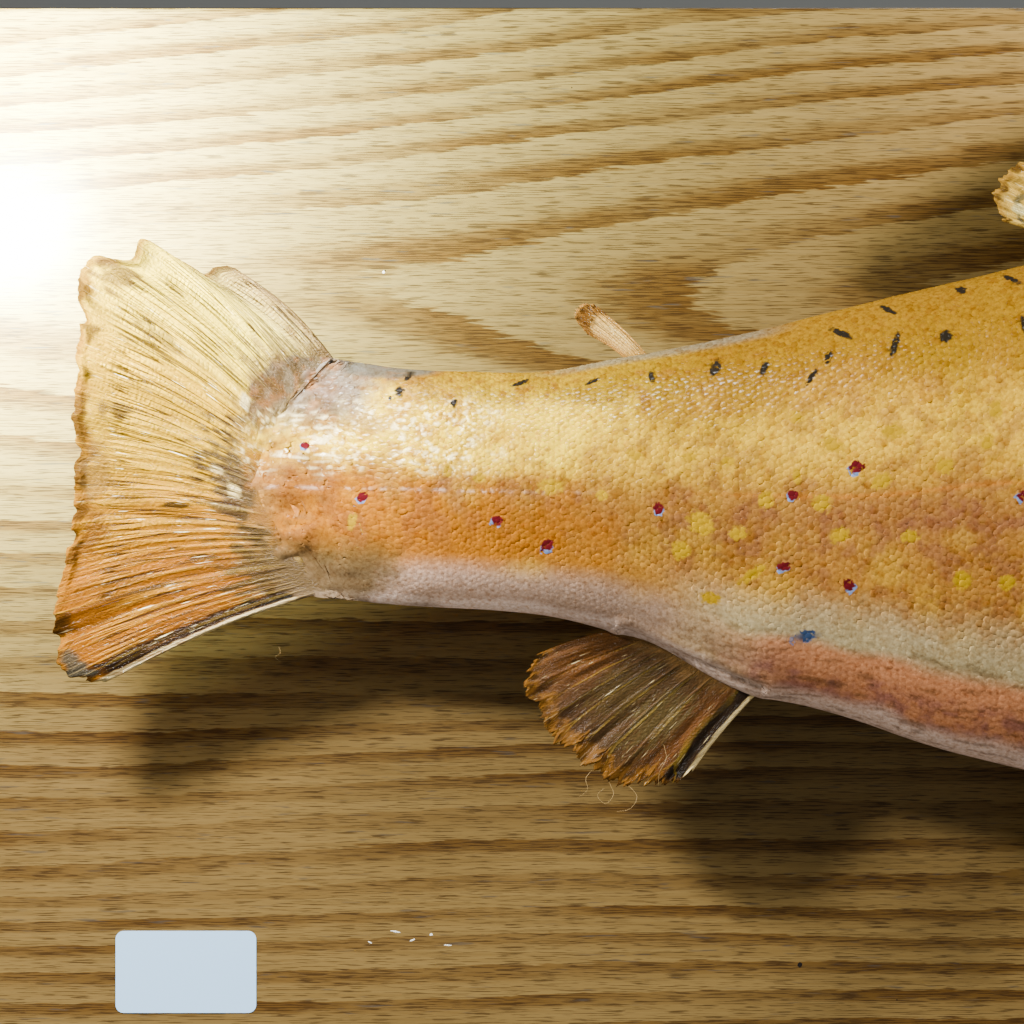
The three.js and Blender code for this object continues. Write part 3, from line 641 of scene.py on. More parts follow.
def toNearestMark(along, height, side, anchor=None):
    # where each point lies on its nearest mark, as a share of the mark's half length and half width
    place = np.full(along.shape + (3,), marks["none"])
    colour = np.full(along.shape + (3,), 0.2)
    for one, rows in sideMarks.items():
        here = side == one
        x, z = along[here], height[here]
        ax, az = (x, z) if anchor is None else (anchor[0][here], anchor[1][here])
        best, index = np.full(x.shape, 1e9), np.zeros(x.shape, int)
        for k, row in enumerate(rows):
            far = np.hypot(ax - row[0], az - row[1]) - row[2] / 2
            nearer = far < best
            best[nearer], index[nearer] = far[nearer], k
        row = rows[index]
        tilt = np.radians(row[:, 4])
        dx, dz = row[:, 0] - x, z - row[:, 1]
        onLength = (dx * np.cos(tilt) + dz * np.sin(tilt)) / (row[:, 2] / 2)
        onWidth = (-dx * np.sin(tilt) + dz * np.cos(tilt)) / (row[:, 3] / 2)
        near = (best < marks["reach"])[:, None]
        place[here] = np.where(near, np.stack([onLength, onWidth, row[:, 8]], -1), marks["none"])
        colour[here] = row[:, 5:8]
    return place, colour


# varnished painted trout skin: oil colours on a dried skin, wet-looking under varnish, and grainy from its scales
def troutSkin():
    material, add = newMaterial("varnished painted trout skin")
    colour, markColour = (add("Attribute", out="Color", attribute_name=name) for name in ("skinColour", "markColour"))
    rise, varnish = (add("Attribute", out="Fac", attribute_name=name) for name in ("rise", "varnish"))
    toMark = add("Attribute", out="Vector", attribute_name="toMark")
    where = add("TexCoord", out="Object")
    ragged = add("TexNoise", where, 1 / (1.3 * mm), 2.0, out="Color")
    torn = add("VectorMath.MULTIPLY", add("VectorMath.SUBTRACT", ragged, (0.5, 0.5, 0.5)), (1.55, 1.55, 0))
    x, y, ringed = add("SeparateXYZ", add("VectorMath.ADD", toMark, torn)).node.outputs
    flat = add("CombineXYZ", x, y)
    haloReach = add("VectorMath.LENGTH", add("VectorMath.ADD", flat, (0.36, 0.32, 0)))
    # the yellow dabs have soft edges, and the ringed spots crisp ones
    outer = add("MapRange", ringed, 0.0, 1.0, 1.25, 1.2)
    inner = add("MapRange", ringed, 0.0, 1.0, 0.8, 1.0)
    core = add("MapRange", add("VectorMath.LENGTH", flat), outer, inner)
    halo = add("Math.MULTIPLY", add("MapRange", haloReach, 1.18, 1.04), ringed, use_clamp=True)
    # fine dust of brown and gold between and over the scales
    dust = add("TexNoise", where, 1 / (1.1 * mm), 4.0, 0.65)
    dusty = add("ValToRGB", dust,
                stops=[(0.3, (0.62, 0.5, 0.38, 1)), (0.6, (1.12, 1.12, 1.08, 1)), (0.42, (0.86, 0.8, 0.7, 1))])
    toned = add("Mix.MULTIPLY", 1.0, colour, dusty)
    # painted shade: scales get darker towards their rims, and the skin between them darker still
    shaded = add("Mix.MULTIPLY", 1.0, toned, add("MapRange", rise, 0.0, 0.75, 0.92, 1.02))
    marked = add("Mix", core, add("Mix", halo, shaded, linear(paint["halo"])), markColour)
    pores = add("TexNoise", where, 1 / (0.45 * mm), 2.0)
    add("OutputMaterial", add("BsdfPrincipled", {
        "Base Color": marked, "Roughness": add("MapRange", dust, 0.0, 1.0, 0.26, 0.5),
        "Normal": add("Bump", {"Height": pores, "Strength": 0.35, "Distance": 0.12 * mm}),
        "Specular IOR Level": 0.0, "Coat Weight": varnish, "Coat Roughness": 0.14}))
    return material


# the skin: one closed sheet from the snout to the tail's root

skinSheet = {
    "side": 128, "headStep": 0.82, "bodyStep": 2.5, "rootStep": 1.6,  # columns on one side, and ring spacings
    "mouthAngle": -0.36, "mouthReach": (-0.86, 0.2), "mouthFades": (76, 104),  # the mouth's column and how it bends
    "crowd": ((1.6, -0.36, 0.10), (0.5, 0.3, 0.35)),  # how much closer the columns lie, at what lean, how widely
    "gillRing": 118, "warpFrom": 60, "warpTo": 165,  # the ring on the gill's edge, and how far it bends others
    "nearGill": [-5, -4, -3, -2.2, -1.5, -1, -0.6, -0.3, 0, 0.2, 0.45, 0.8, 1.4, 2.2, 3.2, 4.4, 5.8],
    "frontEnd": 112, "noseRings": 18, "capRings": 7,
}


def skinRings():
    nose = body["nose"] * (1 - np.cos(np.linspace(0, np.pi / 2, skinSheet["noseRings"])))
    front = np.arange(body["nose"], skinSheet["frontEnd"], skinSheet["headStep"])[1:]
    gill = skinSheet["gillRing"] + np.array(skinSheet["nearGill"])
    trunk = np.arange(gill[-1] + 2, body["bulgeFrom"], skinSheet["bodyStep"])
    root = np.arange(body["bulgeFrom"], body["tailEnd"], skinSheet["rootStep"])
    cap = body["tailEnd"] + body["endCap"] * np.sin(np.linspace(0, np.pi / 2, skinSheet["capRings"]))
    return np.concatenate([nose, front, gill, trunk, root, cap])


def unwrapOf(along, angle):
    return np.stack([along / body["unwrapLength"], (angle + np.pi / 2) / (2 * np.pi)], -1)


def makeSkin(material):
    count = skinSheet["side"]
    ref = skinSheet["mouthAngle"]
    # columns lie closer together along the mouth
    fine = np.linspace(-np.pi / 2, np.pi / 2, 2001)
    weight = np.cumsum(1 + sum(much * bump(fine - at, wide) for much, at, wide in skinSheet["crowd"]))
    lean = np.interp(np.linspace(weight[0], weight[-1], count + 1), weight, fine)
    ref = lean[np.argmin(np.abs(lean - ref))]
    along, side = np.meshgrid(skinRings(), np.concatenate([lean, lean[-2::-1]]), indexing="ij")
    isRight = np.arange(2 * count + 1) > count
    # a ring follows the gill cover's edge, and a column the mouth
    edge = gillAt(np.sin(side))
    ring, start, stop = (skinSheet[name] for name in ("gillRing", "warpFrom", "warpTo"))
    warped = np.where(along < ring, start + (along - start) * (edge - start) / (ring - start),
                      stop - (stop - along) * (stop - edge) / (stop - ring))
    along = np.where((along > start) & (along < stop), warped, along)
    middle, tall, _ = section(along)
    onMouth = np.arcsin(np.clip((mouthAt(along) - middle) / np.maximum(tall, mm), *skinSheet["mouthReach"]))
    target = ref + (onMouth - ref) * (1 - ease(*skinSheet["mouthFades"], along))
    half = np.pi / 2
    side = np.where(side < ref, -half + (side + half) * (target + half) / (ref + half),
                    half - (half - side) * (half - target) / (half - ref))
    angle = np.where(isRight, np.pi - side, side)
    point = skinPoint(along, angle)
    up, height = np.sin(angle), point[..., 2]
    colour = paintBody(along, height, up, point)
    colour = paintHead(colour, along, height, up, point)
    spot, spotColour = toNearestMark(snoutX - point[..., 0], height, np.where(np.cos(angle) < 0, -1, 1))
    bare = (along > body["bareFrom"])[..., None]
    onMark = ease(1.3, 0.7, np.hypot(spot[..., 0], spot[..., 1]))[..., None] * ~bare
    colour = colour * (1 - onMark) + spotColour * onMark
    # the skin under the scales gets a low rise, which the material turns into painted shade between them
    scaled = ease(1, 4, along - gillAt(up))
    mesh = gridMesh("trout_skin", point, {
        "unwrap": unwrapOf(along, angle), "skinColour": colour, "toMark": np.where(bare, spot, marks["none"]),
        "markColour": np.where(bare, spotColour, colour),
        "rise": 0.75 - 0.6 * scaled, "varnish": 0.22 - 0.14 * scaled})
    flesh = ["head", "lower_jaw", "trunk", "tail_stem"] + [part + side for part in ("gill_cover", "upper_lip")
                                                          for side in ("_left", "_right")]
    placePiece("trout_skin", mesh, material, flesh)


# the scales: closed seven-sided domes in staggered rows, each standing a little at its rear edge

scales = {
    "lengthStep": 1.56, "widthStep": 1.9,  # from one scale to the next, along and across
    "length": 1.42, "width": 1.34,  # half a scale
    "sides": 7, "inset": 0.34, "height": 0.1, "shoulder": 0.64, "rearRise": 0.03, "rimDrop": 0.05, "sunk": 0.45,
    "jitter": (0.22, 0.2),  # along and across
    "turn": 0.22, "uneven": 0.01, "tip": 0.016,  # how irregular their turns, heights and tilts are
    "sizes": (0.86, 1.12), "tones": (0.94, 1.05), "stained": 0.12, "stain": [0.84, 0.77, 0.66],
    "shrink": ((0.24, 370, 480), (0.2, 160, 112)),  # how much smaller they get, from where to where
    "pieces": ("front", "middle", "rear", "stem"),  # on each side
    "first": 104, "from": 105,  # the first row, and where its scales begin to be kept
    "rowSteps": 181,  # points on half a ring, to measure along it
    "headPaint": 190,  # behind this, no scale takes the head's paint
    "filled": (481, 44, 12, 3),  # a filled place on the back without scales: its middle and half sizes
    "raggedEnd": 502,  # the last scales before the tail fin end raggedly
    "roots": 31, "look": 41, "shine": 51,  # seeds of the right side, and the left side has the next
    "patch": 0.003,  # a scale's share of the unwrap
}


def scaleDome():
    # a round plate with a domed top and a pointed underside: points as behind, across and up, faces as vertex
    # numbers, and which faces are its top
    dome = bmesh.new()
    bmesh.ops.create_cone(dome, cap_ends=True, cap_tris=False, segments=scales["sides"], radius1=0, radius2=1,
                          depth=1)
    bmesh.ops.rotate(dome, verts=dome.verts, cent=(0, 0, 0), matrix=Matrix.Rotation(np.pi / 6, 3, "Z"))
    top = [face for face in dome.faces if min(vertex.co.z for vertex in face.verts) > 0]
    bmesh.ops.inset_individual(dome, faces=top, thickness=scales["inset"])
    bmesh.ops.poke(dome, faces=top)
    dome.verts.index_update()
    points = np.array([vertex.co[:] for vertex in dome.verts])
    faces = [[vertex.index for vertex in face.verts] for face in dome.faces]
    tops = [min(vertex.co.z for vertex in face.verts) > 0 for face in dome.faces]
    dome.free()
    return points, faces, np.array(tops)


def scaleRoots(side):
    # where the scales of one side grow: behind the snout and angle round the body
    draw = np.random.default_rng(scales["roots"] + (side > 0))
    leans = np.linspace(-np.pi / 2, np.pi / 2, scales["rowSteps"])
    rows = []
    at, odd = float(scales["first"]), 0
    while at < body["tailEnd"] - 2:
        ring = bodyPoint(np.full(len(leans), at), leans)
        arc = np.concatenate([[0], np.cumsum(np.linalg.norm(np.diff(ring, axis=0), axis=1))])
        middle = np.interp(np.interp(at, lateralLine[:, 0], lateralLine[:, 1]), ring[:, 2], arc)
        shrink = 1
        for much, start, stop in scales["shrink"]:
            shrink = shrink - much * ease(start, stop, at)
        step = scales["widthStep"] * shrink
        first = np.ceil((0.25 - middle) / step - odd / 2)
        spots = middle + (np.arange(first, first + arc[-1] / step) + odd / 2) * step
        spots = spots[spots < arc[-1] - 0.2]
        lean = np.interp(spots + draw.normal(0, scales["jitter"][1], len(spots)), arc, leans)
        places = at + draw.normal(0, scales["jitter"][0], len(spots))
        rows.append(np.stack([places, lean, np.full(len(spots), shrink)]))
        at += scales["lengthStep"] * shrink
        odd = 1 - odd
    at, lean, shrink = np.concatenate(rows, 1)
    up = np.sin(lean)
    middle, tall, _ = section(at)
    height = middle + tall * up
    covered = at > np.maximum(gillAt(up) + 1.0, scales["from"])
    fillerX, fillerZ, long, tall = scales["filled"]
    clear = np.hypot((at - fillerX) / long, (height - fillerZ) / tall) > 1
    keepThem = covered & clear & (at + 12 * (grain(np.stack([at, height], -1), 4, 34) - 0.5) < scales["raggedEnd"])
    return at[keepThem], lean[keepThem], shrink[keepThem]


def makeScales(material, side):
    at, lean, shrink = scaleRoots(side)
    angle = np.pi - lean if side < 0 else lean
    shine = np.random.default_rng(scales["shine"] + (side > 0)).uniform(0, 1, len(at)) ** 3
    root = skinPoint(at, angle)
    normal = normalOf(skinPoint, at, angle)
    # the rows spread where the tail's root bulges, and so do the scales
    toTail = (skinPoint(at + probe["toTail"], angle) - root) / probe["toTail"]
    spread = np.linalg.norm(toTail, axis=1)
    toTail /= spread[:, None]
    across = np.cross(normal, toTail)
    up = np.sin(angle)
    draw = np.random.default_rng(scales["look"] + (side > 0))
    turn = draw.normal(0, scales["turn"], len(at))[:, None]
    # scales are flatter on the belly and where they run out on to the tail fin
    flatness = (1 - 0.92 * ease(-0.42, -0.6, up)) * (1 - ease(490, 506, snoutX - root[:, 0]))
    flatness = flatness * (0.45 + 0.85 * grain(root, 14, 33))
    high = scales["height"] * flatness + draw.normal(0, scales["uneven"], len(at)) * flatness
    points, faces, tops = scaleDome()
    isTop = points[:, 2] > 0
    outward = np.hypot(points[:, 0], points[:, 1])
    local = points[:, :2] * np.array([scales["length"], scales["width"]])
    # a low domed top, a little higher at its rear edge, and the point sunk in the skin
    domed = np.interp(outward, [0, 0.62, 1], [1, scales["shoulder"], -0.2])
    lift = np.where(isTop, high[:, None] * domed + scales["rearRise"] * points[:, 0] * flatness[:, None]
                    - scales["rimDrop"] * (outward > 0.9), -scales["sunk"])
    tilt = draw.normal(0, scales["tip"], (len(at), 2)) * flatness[:, None]
    lift = lift + tilt[:, :1] * local[None, :, 0] + tilt[:, 1:] * local[None, :, 1]
    long = (shrink * np.clip(spread, 1, 1.8) * draw.uniform(*scales["sizes"], len(at)))[:, None]
    wide = (shrink * draw.uniform(*scales["sizes"], len(at)))[:, None]
    # each point of a scale lies over its own place on the skin, so that a scale bends with it
    around = (skinPoint(at, angle + probe["angle"]) - root) / probe["angle"]
    mmPerTurn = np.sum(around * across, axis=1)[:, None]
    rearward, sideways = local[None, :, 0] * long, local[None, :, 1] * wide
    behind = at[:, None] + (rearward * np.cos(turn) - sideways * np.sin(turn)) / spread[:, None]
    onAngle = angle[:, None] + (rearward * np.sin(turn) + sideways * np.cos(turn)) / mmPerTurn
    behind = np.maximum(behind, gillAt(np.sin(onAngle)) + 0.9)
    verts = skinPoint(behind, onAngle) + normal[:, None] * lift[..., None]
    colour = paintBody(behind, verts[..., 2], np.sin(onAngle), verts)
    front = at < scales["headPaint"]
    colour[front] = paintHead(colour[front], behind[front], verts[front][..., 2], np.sin(onAngle[front]),
                              verts[front])
    colour *= draw.uniform(*scales["tones"], (len(at), 1, 1))
    stained = (draw.uniform(0, 1, (len(at), 1, 1)) < scales["stained"]) & (up > -0.45)[:, None, None]
    colour = np.where(stained, colour * scales["stain"], colour)
    # the varnish is thick and wet-looking on the tail's stem, and worn elsewhere
    wet = ease(330, 450, at) * between(up, 0.05, 0.85, 0.15)
    varnish = 0.05 + 0.12 * shine + wet * (0.1 + 0.75 * shine)
    behind = snoutX - verts[..., 0]
    anchor = [np.broadcast_to(place[:, None], behind.shape) for place in (snoutX - root[:, 0], root[:, 2])]
    spot, spotColour = toNearestMark(behind, verts[..., 2], np.full(behind.shape, side), anchor)
    patch = unwrapOf(at, angle)[:, None] + points[None, :, :2] * scales["patch"] / 2
    cuts = np.quantile(at, np.linspace(0, 1, len(scales["pieces"]) + 1))
    label = "right" if side < 0 else "left"
    for k, part in enumerate(scales["pieces"]):
        here = (at >= cuts[k]) & ((at < cuts[k + 1]) | (part == scales["pieces"][-1]))
        mesh = repeatedMesh(f"scales_{part}_{label}", verts[here], faces, tops, patch[here])
        for name, value in (("skinColour", colour), ("toMark", spot), ("markColour", spotColour)):
            keep(mesh, name, value[here].reshape(-1, 3))
        keep(mesh, "varnish", np.repeat(varnish[here], len(points)))
        # rise falls from a scale's middle to its rim, and the material darkens by it: painted shade at the scale's
        # edge
        keep(mesh, "rise", np.tile(isTop * (1 - 0.65 * outward ** 2), int(here.sum())))
        placePiece(mesh.name, mesh, material)
    print(f"scales on the {label} side: {len(at)}, {len(at) * 4 * scales['sides']} triangles")


def repeatedMesh(name, verts, faces, tops, patch):
    # one mesh of many copies of a small shape. verts: copy, vertex, place
    copies, each = verts.shape[:2]
    corners = np.array([v for face in faces for v in face])
    starts = np.cumsum([0] + [len(face) for face in faces[:-1]])
    mesh = bpy.data.meshes.new(name)
    mesh.vertices.add(copies * each)
    mesh.loops.add(copies * len(corners))
    mesh.polygons.add(copies * len(faces))
    mesh.vertices.foreach_set("co", (verts * mm).astype(np.float32).ravel())
    base = np.arange(copies)[:, None]
    loops = (base * each + corners[None]).ravel()
    mesh.loops.foreach_set("vertex_index", loops.astype(np.int32))
    mesh.polygons.foreach_set("loop_start", (base * len(corners) + starts[None]).ravel().astype(np.int32))
    mesh.update(calc_edges=True)
    unwrap = mesh.uv_layers.new(name="OFBake")
    unwrap.data.foreach_set("uv", patch.reshape(-1, 2)[loops].astype(np.float32).ravel())
    mesh.polygons.foreach_set("use_smooth", np.tile(tops, copies))
    return mesh


skinMaterial = troutSkin()
makeSkin(skinMaterial)
print("skin made")
for side in (-1, 1):
    makeScales(skinMaterial, side)
print("scales made")


# the fins: closed folded sheets on rays that divide towards the margin

fins = {
    "caudal_fin": {
        "root": [(496.5, 43.6), (508, 36), (514, 22), (513.5, 8), (506, -6), (497, -13.5)],
        "tip": [(523.9, 69.5), (529, 70.6), (531.7, 67.7), (548.2, 77.2), (551, 71.4), (559.7, 72.4), (563.8, 68.4),
                (563.6, 53.4), (566.2, 35.3), (564.7, 24.9), (566, 1.5), (569.9, -16.6), (570.8, -29.6),
                (566, -37.2), (558, -38.6)],
        "thick": (4.2, 0.8), "bow": 2.2, "cup": 7, "rays": 44, "divide": 0.5, "strand": (0.28, 0.14),
        "grid": (528, 84), "fray": 0.03, "curl": 1.5, "pleat": 1.2, "ridge": 0.16,
        "stops": [(0, "#a98d66"), (0.07, "#d6c464"), (0.2, "#eed53c"), (0.4, "#b99308"), (0.55, "#a88408"),
                  (0.68, "#936404"), (0.8, "#7d4b04"), (0.92, "#724204"), (1, "#7a4812")],
        "rootColour": ("#7d6542", 0.2), "rimColour": ("#6f4812", 0.94),
        "white": (0.982, 1.01), "stripe": (0.946, 0.982, 0.02, 0.93), "varnish": 0.45, "fibres": 0.85,
        "ladder": (-0.01, 0.07),
        "emerges": 0.14, "fleshReach": 0.14, "thinEnds": 0.85,
        "blotches": [(0.58, 0.17, 0.16, 0.2, "#44382a", 0.92), (0.1, 0.16, 0.18, 0.22, "#6c5940", 0.65),
                     (0.85, 0.13, 0.16, 0.2, "#3d2f19", 0.95),
                     (0.33, 0.17, 0.024, 0.03, "#c7b786", 0.95), (0.6, 0.2, 0.02, 0.04, "#c7b27a", 0.9),
                     (0.56, 0.29, 0.016, 0.03, "#c7b27a", 0.8), (0.33, 0.6, 0.02, 0.14, "#4c3f27", 0.6),
                     (0.27, 0.88, 0.03, 0.1, "#57422a", 0.8), (0.385, 0.955, 0.02, 0.035, "#3d2b1b", 0.8),
                     (0.5, 0.78, 0.02, 0.09, "#4c3a21", 0.7), (0.67, 0.5, 0.007, 0.08, "#291e10", 0.9),
                     (0.8, 0.38, 0.006, 0.08, "#2f1f0e", 0.9), (0.93, 0.96, 0.03, 0.04, "#3a3833", 0.9),
                     (0.62, 0.9, 0.05, 0.08, "#654d2b", 0.6), (0.72, 0.9, 0.04, 0.07, "#5b3818", 0.6)],
    },
    "anal_fin": {
        "root": [(386.5, -38.5), (404, -31.5), (422, -23.5)],
        "tip": [(407.7, -64.3), (417, -65.2), (426, -65), (434, -60.2), (441.5, -54), (446, -47), (449.6, -37.6),
                (446.6, -31)],
        "thick": (2.6, 0.8), "bow": 1, "cup": 2.5, "rays": 9, "divide": 0.75, "strand": (0.09, 0.05),
        "grid": (240, 70), "fray": 0.1, "curl": 1.0, "pleat": 0.9, "ridge": 0.2,
        "stops": [(0, "#53351b"), (0.2, "#462b15"), (0.4, "#37291b"), (0.65, "#352519"), (1, "#462b12")],
        "rootColour": ("#6b5030", 0.14), "rimColour": ("#5a3c17", 0.86),
        "white": (-0.01, 0.032), "stripe": (0.032, 0.125, 0.04, 0.97), "varnish": 0.22, "fibres": 0.3,
        "blotches": [(0.35, 0.5, 0.13, 0.26, "#413823", 0.75), (0.6, 0.45, 0.14, 0.25, "#3a2f1c", 0.75),
                     (0.82, 0.5, 0.08, 0.25, "#492c11", 0.6), (0.48, 0.55, 0.012, 0.25, "#23190c", 0.8),
                     (0.67, 0.5, 0.012, 0.3, "#23190c", 0.7), (0.23, 0.6, 0.01, 0.25, "#301b07", 0.7)],
    },
    "adipose_fin": {
        "root": [(415.5, 45), (421, 44)],
        "tip": [(431, 60), (434.2, 60.2), (436.4, 57.2), (433, 52.5)],
        "thick": (2.4, 0.9), "bow": 0.6, "cup": 1, "rays": 7, "divide": 0.5, "strand": (0.25, 0.1), "grid": (60, 50),
        "fray": 0.05, "curl": 0.4, "pleat": 0.3, "ridge": 0.1,
        "stops": [(0, "#a9803f"), (0.5, "#c4a05c"), (1, "#9a6c34")],
        "rootColour": ("#996f2d", 0.2), "rimColour": ("#643f15", 0.78),
        "blotches": [(0.5, 0.85, 0.2, 0.12, "#573714", 0.8), (0.3, 0.5, 0.1, 0.2, "#bda05e", 0.7)],
    },
    "dorsal_fin": {
        "root": [(236, 73), (270, 73), (302, 69.5)],
        "tip": [(273, 127), (283, 123.5), (296, 115.5), (309, 106), (321, 97.5), (328.5, 90), (326, 81.5)],
        "thick": (2.2, 0.7), "bow": 1.5, "cup": 3, "rays": 12, "divide": 0.45, "strand": (0.2, 0.08),
        "grid": (300, 70), "fray": 0.05, "curl": 1.2, "pleat": 1.0, "ridge": 0.34,
        "stops": [(0, "#8c6b2e"), (0.3, "#997933"), (0.7, "#a48435"), (1, "#ae9141")],
        "rootColour": ("#896623", 0.15), "rimColour": ("#72521e", 0.93),
        "wavyRows": [(0.16, 9), (0.33, 10), (0.5, 11), (0.67, 12), (0.84, 12)],
        # the two pale blotches near the rear edge are painted highlights
        "blotches": [(0.97, 0.55, 0.03, 0.08, "#b9bc92", 0.7), (0.93, 0.8, 0.03, 0.06, "#bebc8c", 0.6)],
    },
    "pelvic_fin": {
        "root": [(278, -61, 8), (285, -61.5, 8.5), (292, -60.5, 9)],
        "tip": [(300, -111, 21), (308, -109, 20), (314.5, -101, 18), (315.5, -90, 15), (309, -79, 12.5)],
        "thick": (2.6, 0.8), "bow": 1, "cup": 2, "rays": 8, "divide": 0.5, "strand": (0.2, 0.08), "grid": (150, 70),
        "fray": 0.05, "curl": 0.8, "pleat": 0.8, "ridge": 0.4,
        "stops": [(0, "#a76b2d"), (0.25, "#9d5219"), (0.6, "#8b4919"), (1, "#995a1f")],
        "rootColour": ("#ac7b48", 0.15), "rimColour": ("#895019", 0.9),
        "white": (-0.01, 0.075), "stripe": (0.075, 0.17, 0.05, 0.96),
        "blotches": [(0.5, 0.6, 0.15, 0.2, "#624222", 0.6), (0.75, 0.7, 0.08, 0.15, "#583d20", 0.5)],
    },
    "pectoral_fin": {
        "root": [(129, -34, 23), (134, -38, 22), (139, -41.5, 20.5)],
        "tip": [(181, -82, 57), (191, -77.5, 52), (195, -69, 45), (190, -60.5, 38.5), (177, -54, 33)],
        "boardTip": [(186, -88, 37), (196, -82, 36.5), (199, -73, 35.5), (192, -63, 33.5), (177, -55, 31)],
        "thick": (2.8, 0.8), "bow": 1.5, "cup": 2.5, "rays": 11, "divide": 0.5, "strand": (0.2, 0.08),
        "grid": (170, 80), "fray": 0.045, "curl": 0.9, "pleat": 0.8, "ridge": 0.36,
        "stops": [(0, "#a86d2e"), (0.25, "#9f561b"), (0.6, "#8e4d1b"), (1, "#9b5e22")],
        "rootColour": ("#ac7d46", 0.12), "rimColour": ("#89521a", 0.92),
        "white": (-0.01, 0.06), "stripe": (0.06, 0.14, 0.05, 0.96),
        "blotches": [(0.5, 0.6, 0.15, 0.2, "#674523", 0.55), (0.3, 0.8, 0.1, 0.1, "#5b3c1d", 0.5)],
    },
}

finEdges = {"blotch": "#2c1d10", "pit": "#4a3a24", "rung": "#6e5233", "stripe": "#0d0c0b", "white": "#b3a27c",
            "wavy": "#38372c"}
# how thick the bead on the margin is, where it lies and how wide it is, the parts of a fin that close it at its
# tip and its sides, the power that crowds rows to the tip, and how much of the thickness the paint's layer takes
finShape = {"bead": (0.35, 0.968, 0.016), "tipEnd": 0.02, "sideEnd": 0.006, "crowd": 1.25, "inside": 0.2}


def toRay(u, v, fin):
    # distance from the middle of the nearest strand of a ray, as a share of the space between two rays
    one = ease(fin["divide"], fin["divide"] + 0.3, v)
    two = ease(fin["divide"] + 0.5, fin["divide"] + 0.9, v)
    cell = np.abs(np.mod(u * fin["rays"], 1) - 0.5)
    return np.abs(np.abs(cell - 0.25 * one) - 0.125 * two)


def finColours(fin, u, v, seed, point):
    def over(across, outward, size, k):
        return grain(np.stack([u * across, v * outward], -1), size, seed + k)

    at, codes = zip(*fin["stops"])
    stops = np.array([linear(code)[:3] for code in codes])
    drift = u + 0.04 * (over(30, 12, 4, 0) - 0.5)
    colour = np.stack([np.interp(drift, at, stops[:, k]) for k in range(3)], -1)
    colour = colour * (0.7 + 0.55 * over(160, 14, 2.5, 1))[..., None]
    ragged = v + 0.1 * (over(50, 20, 1.6, 2) - 0.5)
    (rootCode, reach), (rimCode, start) = fin["rootColour"], fin["rimColour"]
    atRim = ease(start - 0.06, start + 0.03, v)
    # painted shade in the pits at the fin's root
    pits = ease(0.42, 0.66, over(130, 62, 1.7, 7)) * ease(reach * 1.6, reach * 0.5, ragged)
    coats = [
        (rootCode, ease(reach * 1.4, reach * 0.3, ragged) * 0.85),
        (rimCode, ease(start - 0.02, start + 0.04, ragged) * 0.8),
        (finEdges["blotch"], ease(0.5, 0.68, over(90, 30, 1.7, 3)) * atRim * 0.75),
        (finEdges["pit"], pits * 0.6)]
    blotches = list(fin["blotches"])
    draw = np.random.default_rng(seed)
    for level, many in fin.get("wavyRows", ()):
        for k in range(many):
            blotches.append(((k + draw.uniform(0.3, 0.7)) / many, level + draw.uniform(-0.04, 0.04),
                             0.36 / many, 0.035, finEdges["wavy"], 0.85))
    for bu, bv, wide, tall, code, amount in blotches:
        reach = np.hypot((u - bu) / wide, (v - bv) / tall) + 1.1 * (over(220, 50, 2.4, 4) - 0.5)
        coats.append((code, ease(1.15, 0.6, reach) * amount))
    if "ladder" in fin:
        rungs = (0.5 + 0.5 * np.cos(v * 2 * np.pi * 36)) * between(u, *fin["ladder"], 0.006)
        coats.append((finEdges["rung"], rungs * between(v, 0.3, 0.96, 0.05) * 0.75))
    if "white" in fin:
        wobble = u + 0.006 * (over(0, 30, 1, 5) - 0.5)
        low, high, start, stop = fin["stripe"]
        worn = 0.95 - 0.4 * ease(0.6, 0.8, over(100, 40, 1.6, 6))
        coats += [(finEdges["stripe"], between(wobble, low, high, 0.005) * between(v, start, stop, 0.03) * 0.93),
                  (finEdges["white"], between(wobble, *fin["white"], 0.004) * worn)]
    colour = layPaint(colour, coats)
    if "fleshReach" in fin:
        # the flesh and its paint run out raggedly on the rays
        end = np.full(u.shape, float(body["tailEnd"]))
        middle, tall, _ = section(end)
        flesh = paintBody(end, point[..., 2], np.clip((point[..., 2] - middle) / tall, -1, 1), point)
        reach = v + 0.2 * (grain(point, 5.5, 35) - 0.5) + 0.1 * (grain(point, 1.6, 36) - 0.5)
        onFlesh = ease(fin["fleshReach"] * 1.25, fin["fleshReach"] * 0.75, reach)[..., None]
        colour = colour * (1 - onFlesh) + flesh * onFlesh
    return colour


